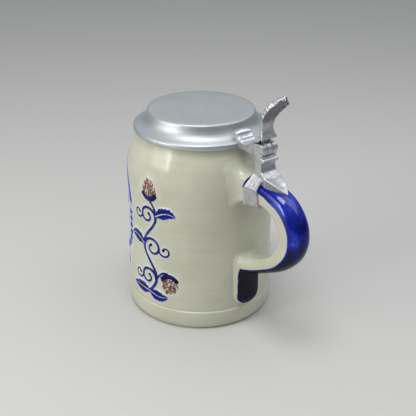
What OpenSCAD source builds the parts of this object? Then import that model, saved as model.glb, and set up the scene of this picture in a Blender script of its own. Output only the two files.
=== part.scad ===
// Half-litre lidded stoneware beer stein.
// Salt-glazed stoneware mug with a luted strap handle, carrying a hinged pewter lid:
// handle strap, hinge shank with two outer knuckles, lid tang with the centre knuckle,
// steel hinge pin closed by two pewter plugs, thumblift and turned lid.
// Millimetres. +Z up, origin at the centre of the foot on the table, handle along +X.

/* [Mug] */
// Radius of the foot band at its widest
foot_r = 49.05; // [47:0.05:52]
// Height of the foot band
foot_h = 12.3; // [10:0.1:15]
// Height of the drinking rim
rim_z = 124.1; // [122:0.1:124.1]
// Wall thickness of the barrel
wall = 4.8; // [4:0.1:6]
// Thickness of the floor at its centre
floor_t = 8; // [6:0.5:10]

/* [Handle] */
// Extra half width of the handle strap, added everywhere
grip_w_add = 0; // [-0.3:0.1:0.3]
// Height of the rounded crown on the outer face, as a share of the design height
crown_k = 1; // [0.8:0.05:1.1]
// Half width of the pressed terminal under the handle
terminal_w = 9.3; // [8:0.1:10]
// How far the terminal stands off the barrel
terminal_t = 2.7; // [2:0.1:3.5]

/* [Lid] */
// Outer radius of the lid's rim
lid_r = 43.2; // [43:0.1:43.6]
// Height of the lid's flat crown above the table
lid_top_z = 136.1; // [135.8:0.1:137]
// Outer radius of the locating ring that drops inside the mug's mouth
locating_r = 36.2; // [35.5:0.1:36.3]

/* [Hinge] */
// Distance of the hinge pin from the mug's axis
pin_x = 60.9; // [60.9:0.1:61]
// Height of the hinge pin
pin_z = 127; // [127:0.1:127.2]
// Radius of the hinge pin
pin_r = 1.5; // [1.2:0.1:1.8]
// Running clearance of the centre knuckle on the pin, radial
pin_clear = 0.05; // [0.02:0.01:0.09]
// Outer radius of the knuckles
knuckle_r = 4.6; // [4.4:0.1:4.6]
// Width of the whole hinge along its pin
hinge_w = 11.8; // [11.4:0.1:12.2]
// Width of the centre knuckle
centre_w = 3.9; // [3.5:0.1:4.2]
// Thickness of the pewter plug over each pin end
plug_t = 0.8; // [0.5:0.1:1.2]

/* [Pewter mount] */
// Wall thickness of the strap round the handle
strap_t = 1.7; // [1.4:0.1:2]
// Width of the strap along the handle
strap_w = 10.4; // [9:0.1:11]
// Tilt of the strap, leaning away from the mug at its top
strap_tilt = 10; // [8:0.5:12]
// Gap between the pewter and the glazed handle
seat_gap = 0.06; // [0.03:0.01:0.1]

/* [Hidden] */
$fn = 96;

clay = [0.74, 0.73, 0.66];
cobalt = [0.08, 0.11, 0.55];
pewter = [0.66, 0.68, 0.69];
bright = [0.74, 0.76, 0.77];
steel = [0.55, 0.56, 0.58];

hinge_half = hinge_w / 2;
pad_z = 134.2;       // seat of the thumblift on the tang
pad_outer_x = 63.4;  // edge of that seat away from the mug
cut_over = 2;        // extra length of a through cut, both ends together

// ---------- shared helpers ----------
// the item at i, or the first or last one when i runs off the list
function item(list, i) = list[max(0, min(len(list) - 1, i))];

// point at share t of the Catmull-Rom span from start to end
function spline_point(before, start, end, after, t) =
    0.5 * (2 * start + (end - before) * t
        + (2 * before - 5 * start + 4 * end - after) * t * t
        + (3 * start - before - 3 * end + after) * t * t * t);

// smooth curve through all the points, with the given number of steps to a span
function smooth(points, steps = 3) = [
    for (i = [0 : len(points) - 2]) for (k = [0 : steps - 1])
        spline_point(item(points, i - 1), item(points, i), item(points, i + 1),
            item(points, i + 2), k / steps),
    points[len(points) - 1]];

// closed outline from rows of [distance, half width], symmetric about the first axis
function mirrored(rows) = concat(
    [for (row = rows) [row[0], -row[1]]],
    [for (i = [len(rows) - 1 : -1 : 0]) rows[i]]);

// extrude a side profile, drawn as [x, z], across the hinge
module across(half_width) {
    translate([0, half_width, 0]) rotate([90, 0, 0])
        linear_extrude(height = 2 * half_width) children();
}

// cylinder on the hinge pin's axis, centred at y
module on_pin(radius, width, y = 0) {
    translate([pin_x, y, pin_z]) rotate([90, 0, 0])
        cylinder(r = radius, h = width, center = true);
}

// ---------- mug ----------
// lathe profiles as [radius, z]: up the outside, over the lip, down the inside
foot = [
    [45.6, 0], [47.1, 0.55], [47.95, 1.7], [foot_r - 0.55, 3.4], [foot_r - 0.15, 6],
    [foot_r, 9], [foot_r - 0.02, foot_h - 1.0], [foot_r - 0.25, foot_h],
    [foot_r - 0.6, foot_h + 0.5]];
barrel = smooth([
    [48.4, 13.6], [48.25, 22], [47.95, 33], [47.5, 48], [47.4, 64], [47.5, 80],
    [47.6, 92], [47.2, 101.5], [45.9, 108.6], [43.8, 114.6], [42.0, 118.8], [41.1, 122.2]]);
lip = [[40.75, rim_z - 0.7], [39.9, rim_z - 0.1], [39.0, rim_z], [38.1, rim_z - 0.5]];
inside = smooth([
    [37.3, 122.4], [37.8, 118.6], [39.6, 113.6], [41.6, 107.6], [42.7, 100], [42.8, 84],
    [42.6, 60], [42.9, 34], [42.9, 18], [41.8, 12.2], [38.4, 9.0],
    [30, floor_t + 0.2], [0, floor_t]]);
inside_wall = 4.8;  // wall thickness that the inside profile is drawn for

// move a lathe profile outwards, leaving points on the axis there
function shift_radius(profile, shift) =
    [for (point = profile) [max(0, point[0] == 0 ? 0 : point[0] + shift), point[1]]];

module stoneware_body() {
    color(clay) rotate_extrude()
        polygon(concat([[0, 0]], foot, barrel, lip, shift_radius(inside, inside_wall - wall)));
}

// the mug's outside as a solid, to fit the handle to it
module barrel_plug() {
    rotate_extrude() polygon(concat([[0, -1], [foot[0][0], -1]], foot, barrel,
        [[40, rim_z + 1], [0, rim_z + 1]]));
}

// ---------- handle ----------
// stations from the upper root to the lower one: x, z, side thickness, half width, crown height
stations = smooth([
    [43.6, 99.0, 16.0, 8.8, 3.2], [50, 98.9, 15.2, 8.7, 3.5], [58, 98.9, 12.8, 8.4, 4.2],
    [66, 98.5, 9.6, 8.1, 4.6], [72.5, 97.3, 8.2, 7.8, 5.0], [78.4, 94.7, 7.9, 7.6, 5.1],
    [83.1, 90.8, 7.7, 7.6, 5.2], [86.6, 85.6, 7.5, 7.6, 5.2], [87.7, 79.8, 7.4, 7.6, 5.2],
    [86.9, 73.9, 7.3, 7.6, 5.0], [84.1, 68.0, 7.1, 7.7, 4.7], [79.2, 62.1, 6.7, 7.9, 4.3],
    [72.4, 57.1, 6.3, 8.3, 3.9], [62.9, 51.8, 6.3, 8.8, 3.6], [54.6, 48.4, 6.8, 9.2, 3.4],
    [44.6, 45.4, 7.6, 9.3, 3.2]]);
seat_last = 21;     // last station of the upper run that the pewter sits on
corner = 1.3;       // size of the eased corners on the handle's inner face
crown_steps = 12;

// section as [distance out from the inner face, y]
function handle_section(thickness, half, crown) = concat(
    [[0, -half + corner], [corner * 0.3, -half + corner * 0.3], [corner, -half]],
    [for (k = [0 : crown_steps]) let(angle = 180 * k / crown_steps)
        [thickness + crown * sin(angle), -half * cos(angle)]],
    [[corner, half], [corner * 0.3, half - corner * 0.3], [0, half - corner]]);

// outward normal of the handle loop at station i, as [x, z]
function handle_out(i) =
    let(ahead = item(stations, i + 1), behind = item(stations, i - 1),
        chord = [ahead[0] - behind[0], ahead[1] - behind[1]],
        along = chord / norm(chord))
    [-along[1], along[0]];

// section at station i in space, with its sides and inner and outer faces grown
function handle_ring(i, grow) =
    let(station = stations[i], out = handle_out(i), thickness = station[2] + 2 * grow,
        half = station[3] + grip_w_add + grow)
    [for (point = handle_section(thickness, half, station[4] * crown_k))
        let(offset_out = point[0] - thickness / 2)
        [station[0] + out[0] * offset_out, point[1], station[1] + out[1] * offset_out]];

// skin over rings of equal point count, capped at both ends
module loft(rings) {
    size = len(rings[0]);
    count = len(rings);
    polyhedron(
        points = [for (ring = rings) for (point = ring) point],
        faces = concat(
            [for (i = [0 : count - 2]) for (j = [0 : size - 1]) let(next = (j + 1) % size)
                [i * size + j, i * size + next, (i + 1) * size + next, (i + 1) * size + j]],
            [[for (j = [size - 1 : -1 : 0]) j]],
            [[for (j = [0 : size - 1]) (count - 1) * size + j]]),
        convexity = 6);
}

module handle_run(last, grow = 0) {
    loft([for (i = [0 : last]) handle_ring(i, grow)]);
}

// terminal: outline as [y, z] with a rounded lower end, and its lathe band as [radius, z]
terminal_top = 47;
terminal_outline = concat(
    [[-terminal_w, terminal_top], [-terminal_w, 27]],
    [for (angle = [0 : 12 : 180]) [-terminal_w * cos(angle), 25 - 10.8 * sin(angle)]],
    [[terminal_w, 27], [terminal_w, terminal_top]]);
terminal_band = [
    [44, 12], [48.2 + terminal_t * 0.75, 12], [48.4 + terminal_t, 17], [47.9 + terminal_t, 33],
    [47.6 + terminal_t, terminal_top], [44, terminal_top]];

module terminal() {
    intersection() {
        translate([40, 0, 0]) rotate([90, 0, 90])
            linear_extrude(height = 20) polygon(terminal_outline);
        rotate_extrude() polygon(terminal_band);
    }
}

module stoneware_handle() {
    color(cobalt) difference() {
        union() {
            handle_run(len(stations) - 1);
            terminal();
        }
        barrel_plug();
    }
}

// the handle's upper run grown by the seat gap, to cut the pewter to it
module handle_seat() {
    handle_run(seat_last, seat_gap);
}

// ---------- pewter strap round the handle ----------
strap_x = 59.9;         // centre of the strap
strap_z = 99.7;
strap_half_h = 9.0;     // half height and half width of the strap's channel
strap_half_w = 9.05;
strap_rise = 0.3;       // lift of the channel's upper half
strap_power = 0.74;     // superellipse exponent: 1 is an ellipse, less is squarer
strap_points = 48;
channel_inset = 0.35;   // how far inside the channel section the opening is cut

function rounded_cos(value) = sign(value) * pow(abs(value), strap_power);

// the channel's section grown all round: x is up, y is across
function strap_section(grow) =
    [for (k = [0 : strap_points - 1])
        let(angle = 360 * k / strap_points, up = cos(angle), side = sin(angle))
        [(strap_half_h + grow) * rounded_cos(up) + (up >= 0 ? strap_rise : 0),
            (strap_half_w + grow) * rounded_cos(side)]];

module strap_tube(grow, length) {
    translate([strap_x, 0, strap_z]) rotate([0, strap_tilt, 0])
        rotate([0, -90, 0]) translate([0, 0, -length / 2])
            linear_extrude(height = length) polygon(strap_section(grow));
}

module handle_strap() {
    color(pewter) difference() {
        strap_tube(strap_t, strap_w);
        strap_tube(-channel_inset, strap_w + cut_over);
        handle_seat();
    }
}

// ---------- hinge shank ----------
slot_side_clear = 0.1;  // on each side of the centre knuckle
slot_clear = 0.2;       // round the centre knuckle
// side profile as [x, z]: down the side facing the mug, out along the leaf, back up
shank_side = concat(
    [[57.4, 124.2], [57.9, 122.4]],
    smooth([[58.2, 120.2], [58.2, 116.5], [58.0, 113.2], [57.2, 109.5]]),
    [[57.2, 104], [66.5, 104], [81.8, 104.4]],
    smooth([[81.9, 105.2], [79.6, 108.0], [75.5, 110.3], [70.5, 111.6], [67.0, 112.3]]),
    smooth([[65.2, 113.6], [63.9, 115.3], [63.5, 117.4], [64.2, 119.7], [65.8, 121.3]]),
    [[65.8, 122.7], [63.9, 123.3], [62.5, 124.2]]);
// leaf as [x, half width]: hinge width at the shank, flaring to the strap, then to a point
leaf_plan = [
    [57, hinge_half], [63.4, hinge_half], [65.4, 6.9], [68.2, 7.3], [72.5, 6.0], [77.5, 3.6],
    [82, 0.5]];
// space under the leaf, as [x, z]
under_leaf_side = [
    [50, 90], [64.6, 90], [66, 105.6], [72.5, 105.4], [78.0, 104.2], [84, 101.0], [90, 90]];

// side profile trimmed to the leaf's plan below and to the hinge width above
module shank_blank() {
    intersection() {
        across(9) polygon(shank_side);
        union() {
            translate([0, 0, 100]) linear_extrude(height = 13) polygon(mirrored(leaf_plan));
            translate([50, -hinge_half, 112]) cube([20, hinge_w, 14]);
        }
    }
}

// space of the strap's mouth and the handle under the leaf
module leaf_seat() {
    across(12) polygon(under_leaf_side);
    handle_seat();
}

module hinge_shank() {
    slot_half = centre_w / 2 + slot_side_clear;
    outer_w = hinge_half - slot_half;
    color(pewter) difference() {
        union() {
            shank_blank();
            for (side = [-1, 1]) on_pin(knuckle_r, outer_w, side * (slot_half + outer_w / 2));
        }
        // slot for the centre knuckle, then the pin's hole
        on_pin(knuckle_r + slot_clear, 2 * slot_half);
        on_pin(pin_r, hinge_w + cut_over);
        strap_tube(strap_t, strap_w);
        leaf_seat();
    }
}

// ---------- pin and plugs ----------
module hinge_pin() {
    color(steel) on_pin(pin_r, hinge_w - 2 * plug_t);
}

module pin_plugs() {
    color(pewter) for (side = [-1, 1]) on_pin(pin_r, plug_t, side * (hinge_w - plug_t) / 2);
}

// ---------- lid ----------
// lathe profiles as [radius, z]: top from the axis to the rim, underside back to the axis
lid_top = concat(
    [[0, lid_top_z], [16, lid_top_z - 0.12], [28, lid_top_z - 0.4], [32.6, lid_top_z - 0.62],
        [33.7, lid_top_z - 0.85], [34.3, lid_top_z - 1.5]],
    smooth([[34.7, 133.4], [35.25, 131.6], [36.1, 129.7], [37.4, 128.0], [39.2, 126.8],
        [41.2, 126.0]]),
    [[42.3, 125.5], [lid_r - 0.25, 124.9], [lid_r, 124.2], [lid_r, 122.9],
        [lid_r - 0.35, 122.25]]);
lid_under = [
    [lid_r - 0.9, 122.1], [41.95, 122.4], [41.8, 123.3], [41.3, 124.2], [40.6, 124.45],
    [36.9, 124.45], [locating_r, 123.9], [locating_r, 121.6], [locating_r - 0.3, 121.3],
    [34.9, 121.3], [34.6, 121.6], [34.4, 124.6], [33.9, 127.6], [33.0, 131.2], [32.2, 132.9],
    [31.0, lid_top_z - 2.4], [27.5, lid_top_z - 2.3], [15, lid_top_z - 2.1],
    [0, lid_top_z - 2.0]];

module pewter_lid() {
    color(bright) rotate_extrude() polygon(concat(lid_top, lid_under));
}

// the lid as a solid, to fit the tang to it
module lid_plug() {
    rotate_extrude() polygon(concat(lid_top,
        [lid_under[0], [41.9, 122.1], [41.9, 118], [0, 118]]));
}

// ---------- lid tang with the centre knuckle ----------
relief_w = 9.8;       // width of the room cut for each outer knuckle
relief_clear = 0.15;  // round each outer knuckle
// side profile as [x, z]: out along the top to the pad, back along the underside
tang_side = concat(
    [[34, 128.8], [35.6, 130.6]],
    smooth([[36.8, 132.0], [38.6, 132.3], [40.8, 130.9], [43.2, 128.9], [47.3, 127.2],
        [50.6, 127.4], [53.3, 129.0], [55.8, 131.5], [57.9, 133.5]]),
    [[58.6, pad_z], [pad_outer_x, pad_z], [61.6, 132.9], [60.8, 131.9], [60.9, 129],
        [57.0, 124.3]],
    smooth([[56.2, 123.6], [52, 123.1], [48.6, 123.1], [45.6, 122.9], [43.5, 122.4]], 2),
    [[34, 122.3]]);
// bar as [x, half width], a touch narrower over the lid than at the knuckles
tang_plan = [[30, 5.5], [44, 5.6], [54.5, hinge_half], [66, hinge_half]];

module lid_tang() {
    color(pewter) difference() {
        union() {
            intersection() {
                across(8) polygon(tang_side);
                translate([0, 0, 118]) linear_extrude(height = 20)
                    polygon(mirrored(tang_plan));
            }
            on_pin(knuckle_r, centre_w);
        }
        lid_plug();
        // room for the shank's two knuckles
        for (side = [-1, 1])
            on_pin(knuckle_r + relief_clear, relief_w, side * (relief_w + centre_w) / 2);
        on_pin(pin_r + pin_clear, hinge_w);
    }
}

// ---------- thumblift ----------
// side profile of the blade as [x, z]: up the face towards the mug, down the other face
thumb_mug_face = smooth([
    [59.4, pad_z], [60.8, 135.3], [61.35, 136.9], [61.2, 138.6], [61.15, 140.6],
    [61.25, 143.2], [61.6, 145.5], [62.1, 147.5], [62.7, 149.6], [63.4, 151.6], [64.8, 153.8],
    [66.5, 156.0], [68.4, 157.9], [70.2, 159.4], [72.0, 160.6], [73.6, 161.25], [75.2, 161.7],
    [76.2, 161.2]]);
thumb_outer_face = smooth([
    [76.4, 160.0], [75.0, 159.1], [73.6, 157.9], [72.6, 156.6], [71.6, 155.3], [70.6, 154.2],
    [68.5, 152.0], [66.5, 149.9], [64.9, 147.7], [63.5, 145.6], [62.8, 143.4], [62.55, 141.2],
    [62.6, 139.3], [63.0, 137.2], [63.8, 135.7], [64.1, 134.9], [pad_outer_x, pad_z]]);
thumb_half_w = 7.4;  // half width of the thumbpiece at its widest
// stem as [z, half width]
stem_rows = [
    [pad_z - 1, 5.8], [134.7, 5.75], [135.8, 5.5], [137.2, 4.9], [139.3, 4.4], [141.4, 4.3],
    [143.6, 4.7], [145.8, 5.35], [148.0, 5.95], [150.6, 6.5], [153.4, 7.1],
    [156.0, thumb_half_w], [163, thumb_half_w]];
// leaf-shaped thumbpiece as [x, half width]
thumbpiece_plan = [
    [55, thumb_half_w], [70.6, thumb_half_w], [71.6, 7.1], [72.6, 5.9], [73.6, 4.2],
    [75.0, 2.5], [76.5, 1.1], [77.4, 0.5]];

module thumblift() {
    color(pewter) intersection() {
        across(9) polygon(concat(thumb_mug_face, thumb_outer_face));
        translate([50, 0, 0]) rotate([90, 0, 90]) linear_extrude(height = 40)
            polygon([for (point = mirrored(stem_rows)) [point[1], point[0]]]);
        translate([0, 0, 130]) linear_extrude(height = 40) polygon(mirrored(thumbpiece_plan));
    }
}

stoneware_body();
stoneware_handle();
handle_strap();
hinge_shank();
hinge_pin();
pin_plugs();
lid_tang();
thumblift();
pewter_lid();
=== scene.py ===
"""Looks of a lidded stoneware stein with pewter fittings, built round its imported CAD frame.

The barrel stands on z = 0 round the z axis. The handle and the lid's hinge lie towards +x, and
the hinge's axis runs along y. Shapes are in millimetres until a mesh is made. Shaders, floor,
lights and camera are in metres.
"""
import math
import bpy
import numpy as np
from mathutils import Matrix, Vector


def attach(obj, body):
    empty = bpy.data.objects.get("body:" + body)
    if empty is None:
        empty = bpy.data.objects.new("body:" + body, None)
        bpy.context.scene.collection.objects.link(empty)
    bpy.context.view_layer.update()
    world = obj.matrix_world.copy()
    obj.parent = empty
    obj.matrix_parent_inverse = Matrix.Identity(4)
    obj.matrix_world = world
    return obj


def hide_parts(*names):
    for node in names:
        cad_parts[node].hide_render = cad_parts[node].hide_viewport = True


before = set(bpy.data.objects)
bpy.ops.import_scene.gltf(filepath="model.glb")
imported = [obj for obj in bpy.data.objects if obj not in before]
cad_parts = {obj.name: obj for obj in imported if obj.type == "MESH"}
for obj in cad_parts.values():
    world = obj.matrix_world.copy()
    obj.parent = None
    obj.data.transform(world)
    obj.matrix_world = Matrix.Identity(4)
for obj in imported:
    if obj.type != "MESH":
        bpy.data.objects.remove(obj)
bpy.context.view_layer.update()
MM = 0.001
FAR = 9.0                         # a distance that leaves a place unpainted


# ------------------------------------------------------------------ curves and fields
def smooth(points, steps=6, closed=False):
    """Catmull-Rom through the points, with so many steps a span."""
    points = np.asarray(points, float)
    count = len(points)
    out = []
    for i in range(count if closed else count - 1):
        ids = np.arange(i - 1, i + 3)
        a, b, c, d = points[ids % count if closed else np.clip(ids, 0, count - 1)]
        for k in range(steps):
            t = k / steps
            out.append(0.5 * (2 * b + (c - a) * t + (2 * a - 5 * b + 4 * c - d) * t * t
                              + (3 * b - a - 3 * c + d) * t ** 3))
    if not closed:
        out.append(points[-1])
    return np.array(out)


def smin(a, b, over):
    """The smaller of two fields, the corner between them rounded."""
    t = np.clip(0.5 + 0.5 * (b - a) / over, 0, 1)
    return b * (1 - t) + a * t - over * t * (1 - t)


def smax(a, b, over):
    return -smin(-a, -b, over)


def step(start, end, x):
    """Smooth rise from 0 at start to 1 at end. Start may be the larger."""
    t = np.clip((x - start) / (end - start), 0, 1)
    return t * t * (3 - 2 * t)


def bell(x, width):
    return np.exp(-(x / width) ** 2)


def lengths(points):
    """Length of each segment of a line, and the run up to each point."""
    seg = np.linalg.norm(np.diff(points, axis=0), axis=1)
    return seg, np.concatenate([[0], np.cumsum(seg)])


def nearest(points, x, z):
    """Nearest segment of a line: its index, the unclamped place along it, squared distance."""
    best = np.full(np.broadcast(x, z).shape, 1e9)
    index, along = np.zeros(best.shape, int), np.zeros(best.shape)
    for i in range(len(points) - 1):
        start, edge = points[i, :2], points[i + 1, :2] - points[i, :2]
        raw = (x - start[0]) * edge[0] + (z - start[1]) * edge[1]
        raw = raw / (edge @ edge + 1e-12)
        t = np.clip(raw, 0, 1)
        gap = (x - start[0] - t * edge[0]) ** 2 + (z - start[1] - t * edge[1]) ** 2
        closer = gap < best
        best[closer] = gap[closer]
        index[closer] = i
        along[closer] = raw[closer]
    return index, along, best


def stations_at(table, index, t):
    """A station table's columns after its first two, read off part way along a segment."""
    return [table[index, k] + t * (table[index + 1, k] - table[index, k])
            for k in range(2, table.shape[1])]


def poly_sdf(x, z, outline):
    """Signed distance to a closed outline, negative inside."""
    outline = np.asarray(outline, float)
    dist = np.sqrt(nearest(np.vstack([outline[-1:], outline]), x, z)[2])
    inside = np.zeros(dist.shape, bool)
    for i in range(len(outline)):
        a, b = outline[i - 1], outline[i]
        spans = ((a[1] <= z) & (b[1] > z)) | ((b[1] <= z) & (a[1] > z))
        if spans.any():
            run, rise = b - a
            cross = a[0] + (z - a[1]) * (run / (rise if abs(rise) > 1e-12 else 1e-12))
            inside ^= spans & (x < cross)
    return np.where(inside, -dist, dist)


def hash2(i, j, seed=0):
    v = np.sin(i * 127.1 + j * 311.7 + seed * 74.7) * 43758.5453
    return v - np.floor(v)


def vnoise(x, y, seed):
    """Smooth value noise in [-1, 1]."""
    xi, yi = np.floor(x), np.floor(y)
    fx, fy = x - xi, y - yi
    fx, fy = fx * fx * (3 - 2 * fx), fy * fy * (3 - 2 * fy)
    a, b = hash2(xi, yi, seed), hash2(xi + 1, yi, seed)
    c, d = hash2(xi, yi + 1, seed), hash2(xi + 1, yi + 1, seed)
    return 2 * ((a * (1 - fx) + b * fx) * (1 - fy) + (c * (1 - fx) + d * fx) * fy) - 1


class Grid:
    """A regular grid for distance fields. Its axes broadcast against each other."""

    def __init__(self, lo, hi, cell):
        self.lo, self.cell = np.array(lo, float), cell
        self.count = np.ceil((np.array(hi, float) - self.lo) / cell).astype(int) + 1
        self.axes = np.ix_(*(self.lo[i] + cell * np.arange(self.count[i]) for i in range(3)))

    def raised(self, profile, shift):
        """A side-view field read at heights shifted by a field over the grid."""
        level = (self.axes[2] + shift - self.lo[2]) / self.cell
        level = np.clip(level, 0, self.count[2] - 1.001)
        below = np.floor(level).astype(int)
        part = level - below
        i = np.arange(self.count[0])[:, None, None]
        above = np.minimum(below + 1, self.count[2] - 1)
        return profile[i, 0, below] * (1 - part) + profile[i, 0, above] * part

    def sample(self, values, points):
        """Trilinear values at points."""
        place = (points - self.lo) / self.cell
        i = np.clip(np.floor(place).astype(int), 0, self.count - 2)
        part = place - i
        out = 0
        for corner in np.ndindex(2, 2, 2):
            weight = np.where(corner, part, 1 - part).prod(1)
            out = out + weight * values[tuple((i + corner).T)]
        return out

    def surface(self, field):
        """Surface nets, then each vertex drawn onto the zero level: vertices, quads, normals."""
        field = np.array(field, float)
        field[np.abs(field) < 1e-6] = 1e-6
        inside = field < 0
        cells = tuple(self.count - 1)
        total, hits = np.zeros(cells + (3,)), np.zeros(cells)
        corner = np.indices(cells).astype(float)
        crossings = []
        for axis in range(3):
            near, far = [slice(None)] * 3, [slice(None)] * 3
            near[axis], far[axis] = slice(0, -1), slice(1, None)
            near, far = tuple(near), tuple(far)
            crossed = inside[near] != inside[far]
            with np.errstate(divide="ignore", invalid="ignore"):
                t = np.where(crossed, field[near] / (field[near] - field[far]), 0)
            side1, side2 = (axis + 1) % 3, (axis + 2) % 3
            for i, j in np.ndindex(2, 2):
                part = [slice(None)] * 3
                part[side1] = slice(i, cells[side1] + i)
                part[side2] = slice(j, cells[side2] + j)
                part = tuple(part)
                for k, shift in ((axis, t[part]), (side1, i), (side2, j)):
                    total[..., k] += np.where(crossed[part], corner[k] + shift, 0)
                hits += crossed[part]
            crossings.append((side1, side2, crossed, inside[near]))
        used = hits > 0
        ids = np.full(cells, -1, int)
        ids[used] = np.arange(used.sum())
        verts = self.lo + self.cell * (total[used] / hits[used][:, None])
        quads = []
        for side1, side2, crossed, starts_inside in crossings:
            inner = [slice(None)] * 3
            inner[side1] = inner[side2] = slice(1, -1)
            where = np.argwhere(crossed[tuple(inner)])
            where[:, [side1, side2]] += 1
            ring = []
            for i, j in ((-1, -1), (0, -1), (0, 0), (-1, 0)):
                cell = where.copy()
                cell[:, side1] += i
                cell[:, side2] += j
                ring.append(ids[tuple(cell.T)])
            ring = np.stack(ring, 1)
            turn = ~starts_inside[tuple(where.T)]
            ring[turn] = ring[turn][:, ::-1]
            quads.append(ring)
        slopes = np.gradient(field, self.cell)

        def slope_at(points):
            return np.stack([self.sample(slope, points) for slope in slopes], 1)

        for _ in range(2):
            slope = slope_at(verts)
            steep = np.maximum((slope * slope).sum(1), 1e-6)
            move = -(self.sample(field, verts) / steep)[:, None] * slope
            size = np.linalg.norm(move, axis=1)[:, None]
            verts = verts + move * np.minimum(1, 0.35 * self.cell / np.maximum(size, 1e-9))
        slope = slope_at(verts)
        normals = slope / np.maximum(np.linalg.norm(slope, axis=1)[:, None], 1e-9)
        return verts, np.concatenate(quads), normals


# ------------------------------------------------------------------ objects
def make(name, verts, faces, mat, body, piece, attrs=None, normals=None):
    """A smooth mesh that rides a body of the frame and replaces one of its pieces."""
    mesh = bpy.data.meshes.new(name)
    mesh.from_pydata((np.asarray(verts) * MM).tolist(), [], [list(map(int, f)) for f in faces])
    mesh.update()
    mesh.polygons.foreach_set("use_smooth", [True] * len(mesh.polygons))
    for key, values in (attrs or {}).items():
        layer = mesh.attributes.new(key, "FLOAT", "POINT")
        layer.data.foreach_set("value", np.asarray(values, np.float32))
    if normals is not None:
        mesh.normals_split_custom_set_from_vertices(normals.tolist())
    mesh.materials.append(mat)
    ob = bpy.data.objects.new(name, mesh)
    bpy.context.scene.collection.objects.link(ob)
    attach(ob, body)
    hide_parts(piece)


def lathe_solid(x, y, z, centres, flip=False, start=0):
    """Rings of vertices, joined in rows and closed at both ends onto two centre points."""
    rows, cols = z.shape
    verts = np.vstack([np.stack([x, y, z], -1).reshape(-1, 3), centres])
    faces = []
    for i in range(rows - 1):
        for j in range(cols):
            a, b = start + i * cols + j, start + i * cols + (j + 1) % cols
            quad = (a, b, b + cols, a + cols)
            faces.append(quad[::-1] if flip else quad)
    end = start + rows * cols
    for j in range(cols):
        k = (j + 1) % cols
        for centre, a, b in ((end, start + k, start + j),
                             (end + 1, end - cols + j, end - cols + k)):
            faces.append((centre, b, a) if flip else (centre, a, b))
    return verts, faces


# ------------------------------------------------------------------ node helpers
class Nodes:
    """A material round one Principled shader. Values may be numbers, colours or sockets."""

    def __init__(self, name):
        self.mat = bpy.data.materials.new(name)
        self.mat.use_nodes = True
        self.tree = self.mat.node_tree
        self.tree.nodes.clear()
        out = self.new("ShaderNodeOutputMaterial")
        self.bsdf = self.new("ShaderNodeBsdfPrincipled")
        self.tree.links.new(self.bsdf.outputs[0], out.inputs[0])
        self.place = self.new("ShaderNodeTexCoord").outputs["Object"]

    def new(self, kind, **settings):
        node = self.tree.nodes.new(kind)
        for key, value in settings.items():
            setattr(node, key, value)
        return node

    def put(self, socket, value):
        if isinstance(value, bpy.types.NodeSocket):
            self.tree.links.new(value, socket)
        else:
            socket.default_value = (*value, 1.0) if isinstance(value, tuple) else value

    def math(self, kind, a, b=0.0, clamp=False):
        node = self.new("ShaderNodeMath", operation=kind, use_clamp=clamp)
        for socket, value in zip(node.inputs, (a, b, 0.0)):
            self.put(socket, value)
        return node.outputs[0]

    def add(self, a, b, clamp=False):
        return self.math("ADD", a, b, clamp)

    def mul(self, a, b):
        return self.math("MULTIPLY", a, b)

    def centred(self, value, gain):
        """A 0 to 1 noise moved to swing about nought."""
        return self.mul(self.math("SUBTRACT", value, 0.5), gain)

    def ramp(self, value, span, out=(0.0, 1.0)):
        node = self.new("ShaderNodeMapRange", interpolation_type="SMOOTHSTEP", clamp=True)
        for socket, item in zip(node.inputs[:5], (value, *span, *out)):
            self.put(socket, item)
        return node.outputs[0]

    def noise(self, scale, detail, rough, seed=0.0, stretch=None, coords=None):
        """The seed slides the noise about."""
        mapping = self.new("ShaderNodeMapping")
        self.put(mapping.inputs[0], coords or self.place)
        mapping.inputs["Location"].default_value = (seed, seed * 0.37, -seed * 0.61)
        if stretch:
            mapping.inputs["Scale"].default_value = stretch
        node = self.new("ShaderNodeTexNoise")
        self.put(node.inputs["Vector"], mapping.outputs[0])
        for key, value in (("Scale", scale), ("Detail", detail), ("Roughness", rough)):
            node.inputs[key].default_value = value
        return node.outputs[0]

    def mix(self, factor, a, b):
        node = self.new("ShaderNodeMix", data_type="RGBA")
        for i, value in ((0, factor), (6, a), (7, b)):
            self.put(node.inputs[i], value)
        return node.outputs[2]

    def mix_value(self, factor, a, b):
        node = self.new("ShaderNodeMix", data_type="FLOAT")
        for i, value in ((0, factor), (2, a), (3, b)):
            self.put(node.inputs[i], value)
        return node.outputs[0]

    def to_value(self, color):
        node = self.new("ShaderNodeRGBToBW")
        self.put(node.inputs[0], color)
        return node.outputs[0]

    def attr(self, name):
        return self.new("ShaderNodeAttribute", attribute_name=name,
                        attribute_type="GEOMETRY").outputs["Fac"]

    def xyz(self):
        node = self.new("ShaderNodeSeparateXYZ")
        self.put(node.inputs[0], self.place)
        return node.outputs

    def bump(self, height, dist, strength, before=None):
        node = self.new("ShaderNodeBump")
        node.inputs["Strength"].default_value = strength
        node.inputs["Distance"].default_value = dist
        self.put(node.inputs["Height"], height)
        if before is not None:
            self.put(node.inputs["Normal"], before)
        return node.outputs[0]

    def set(self, **values):
        """Shader inputs by name, with underscores for spaces."""
        for key, value in values.items():
            self.put(self.bsdf.inputs[key.replace("_", " ")], value)


def srgb(*color):
    """sRGB 0-255 to linear."""
    return tuple((c / 255 / 12.92) if c / 255 <= 0.04045 else ((c / 255 + 0.055) / 1.055) ** 2.4
                 for c in color)


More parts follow.
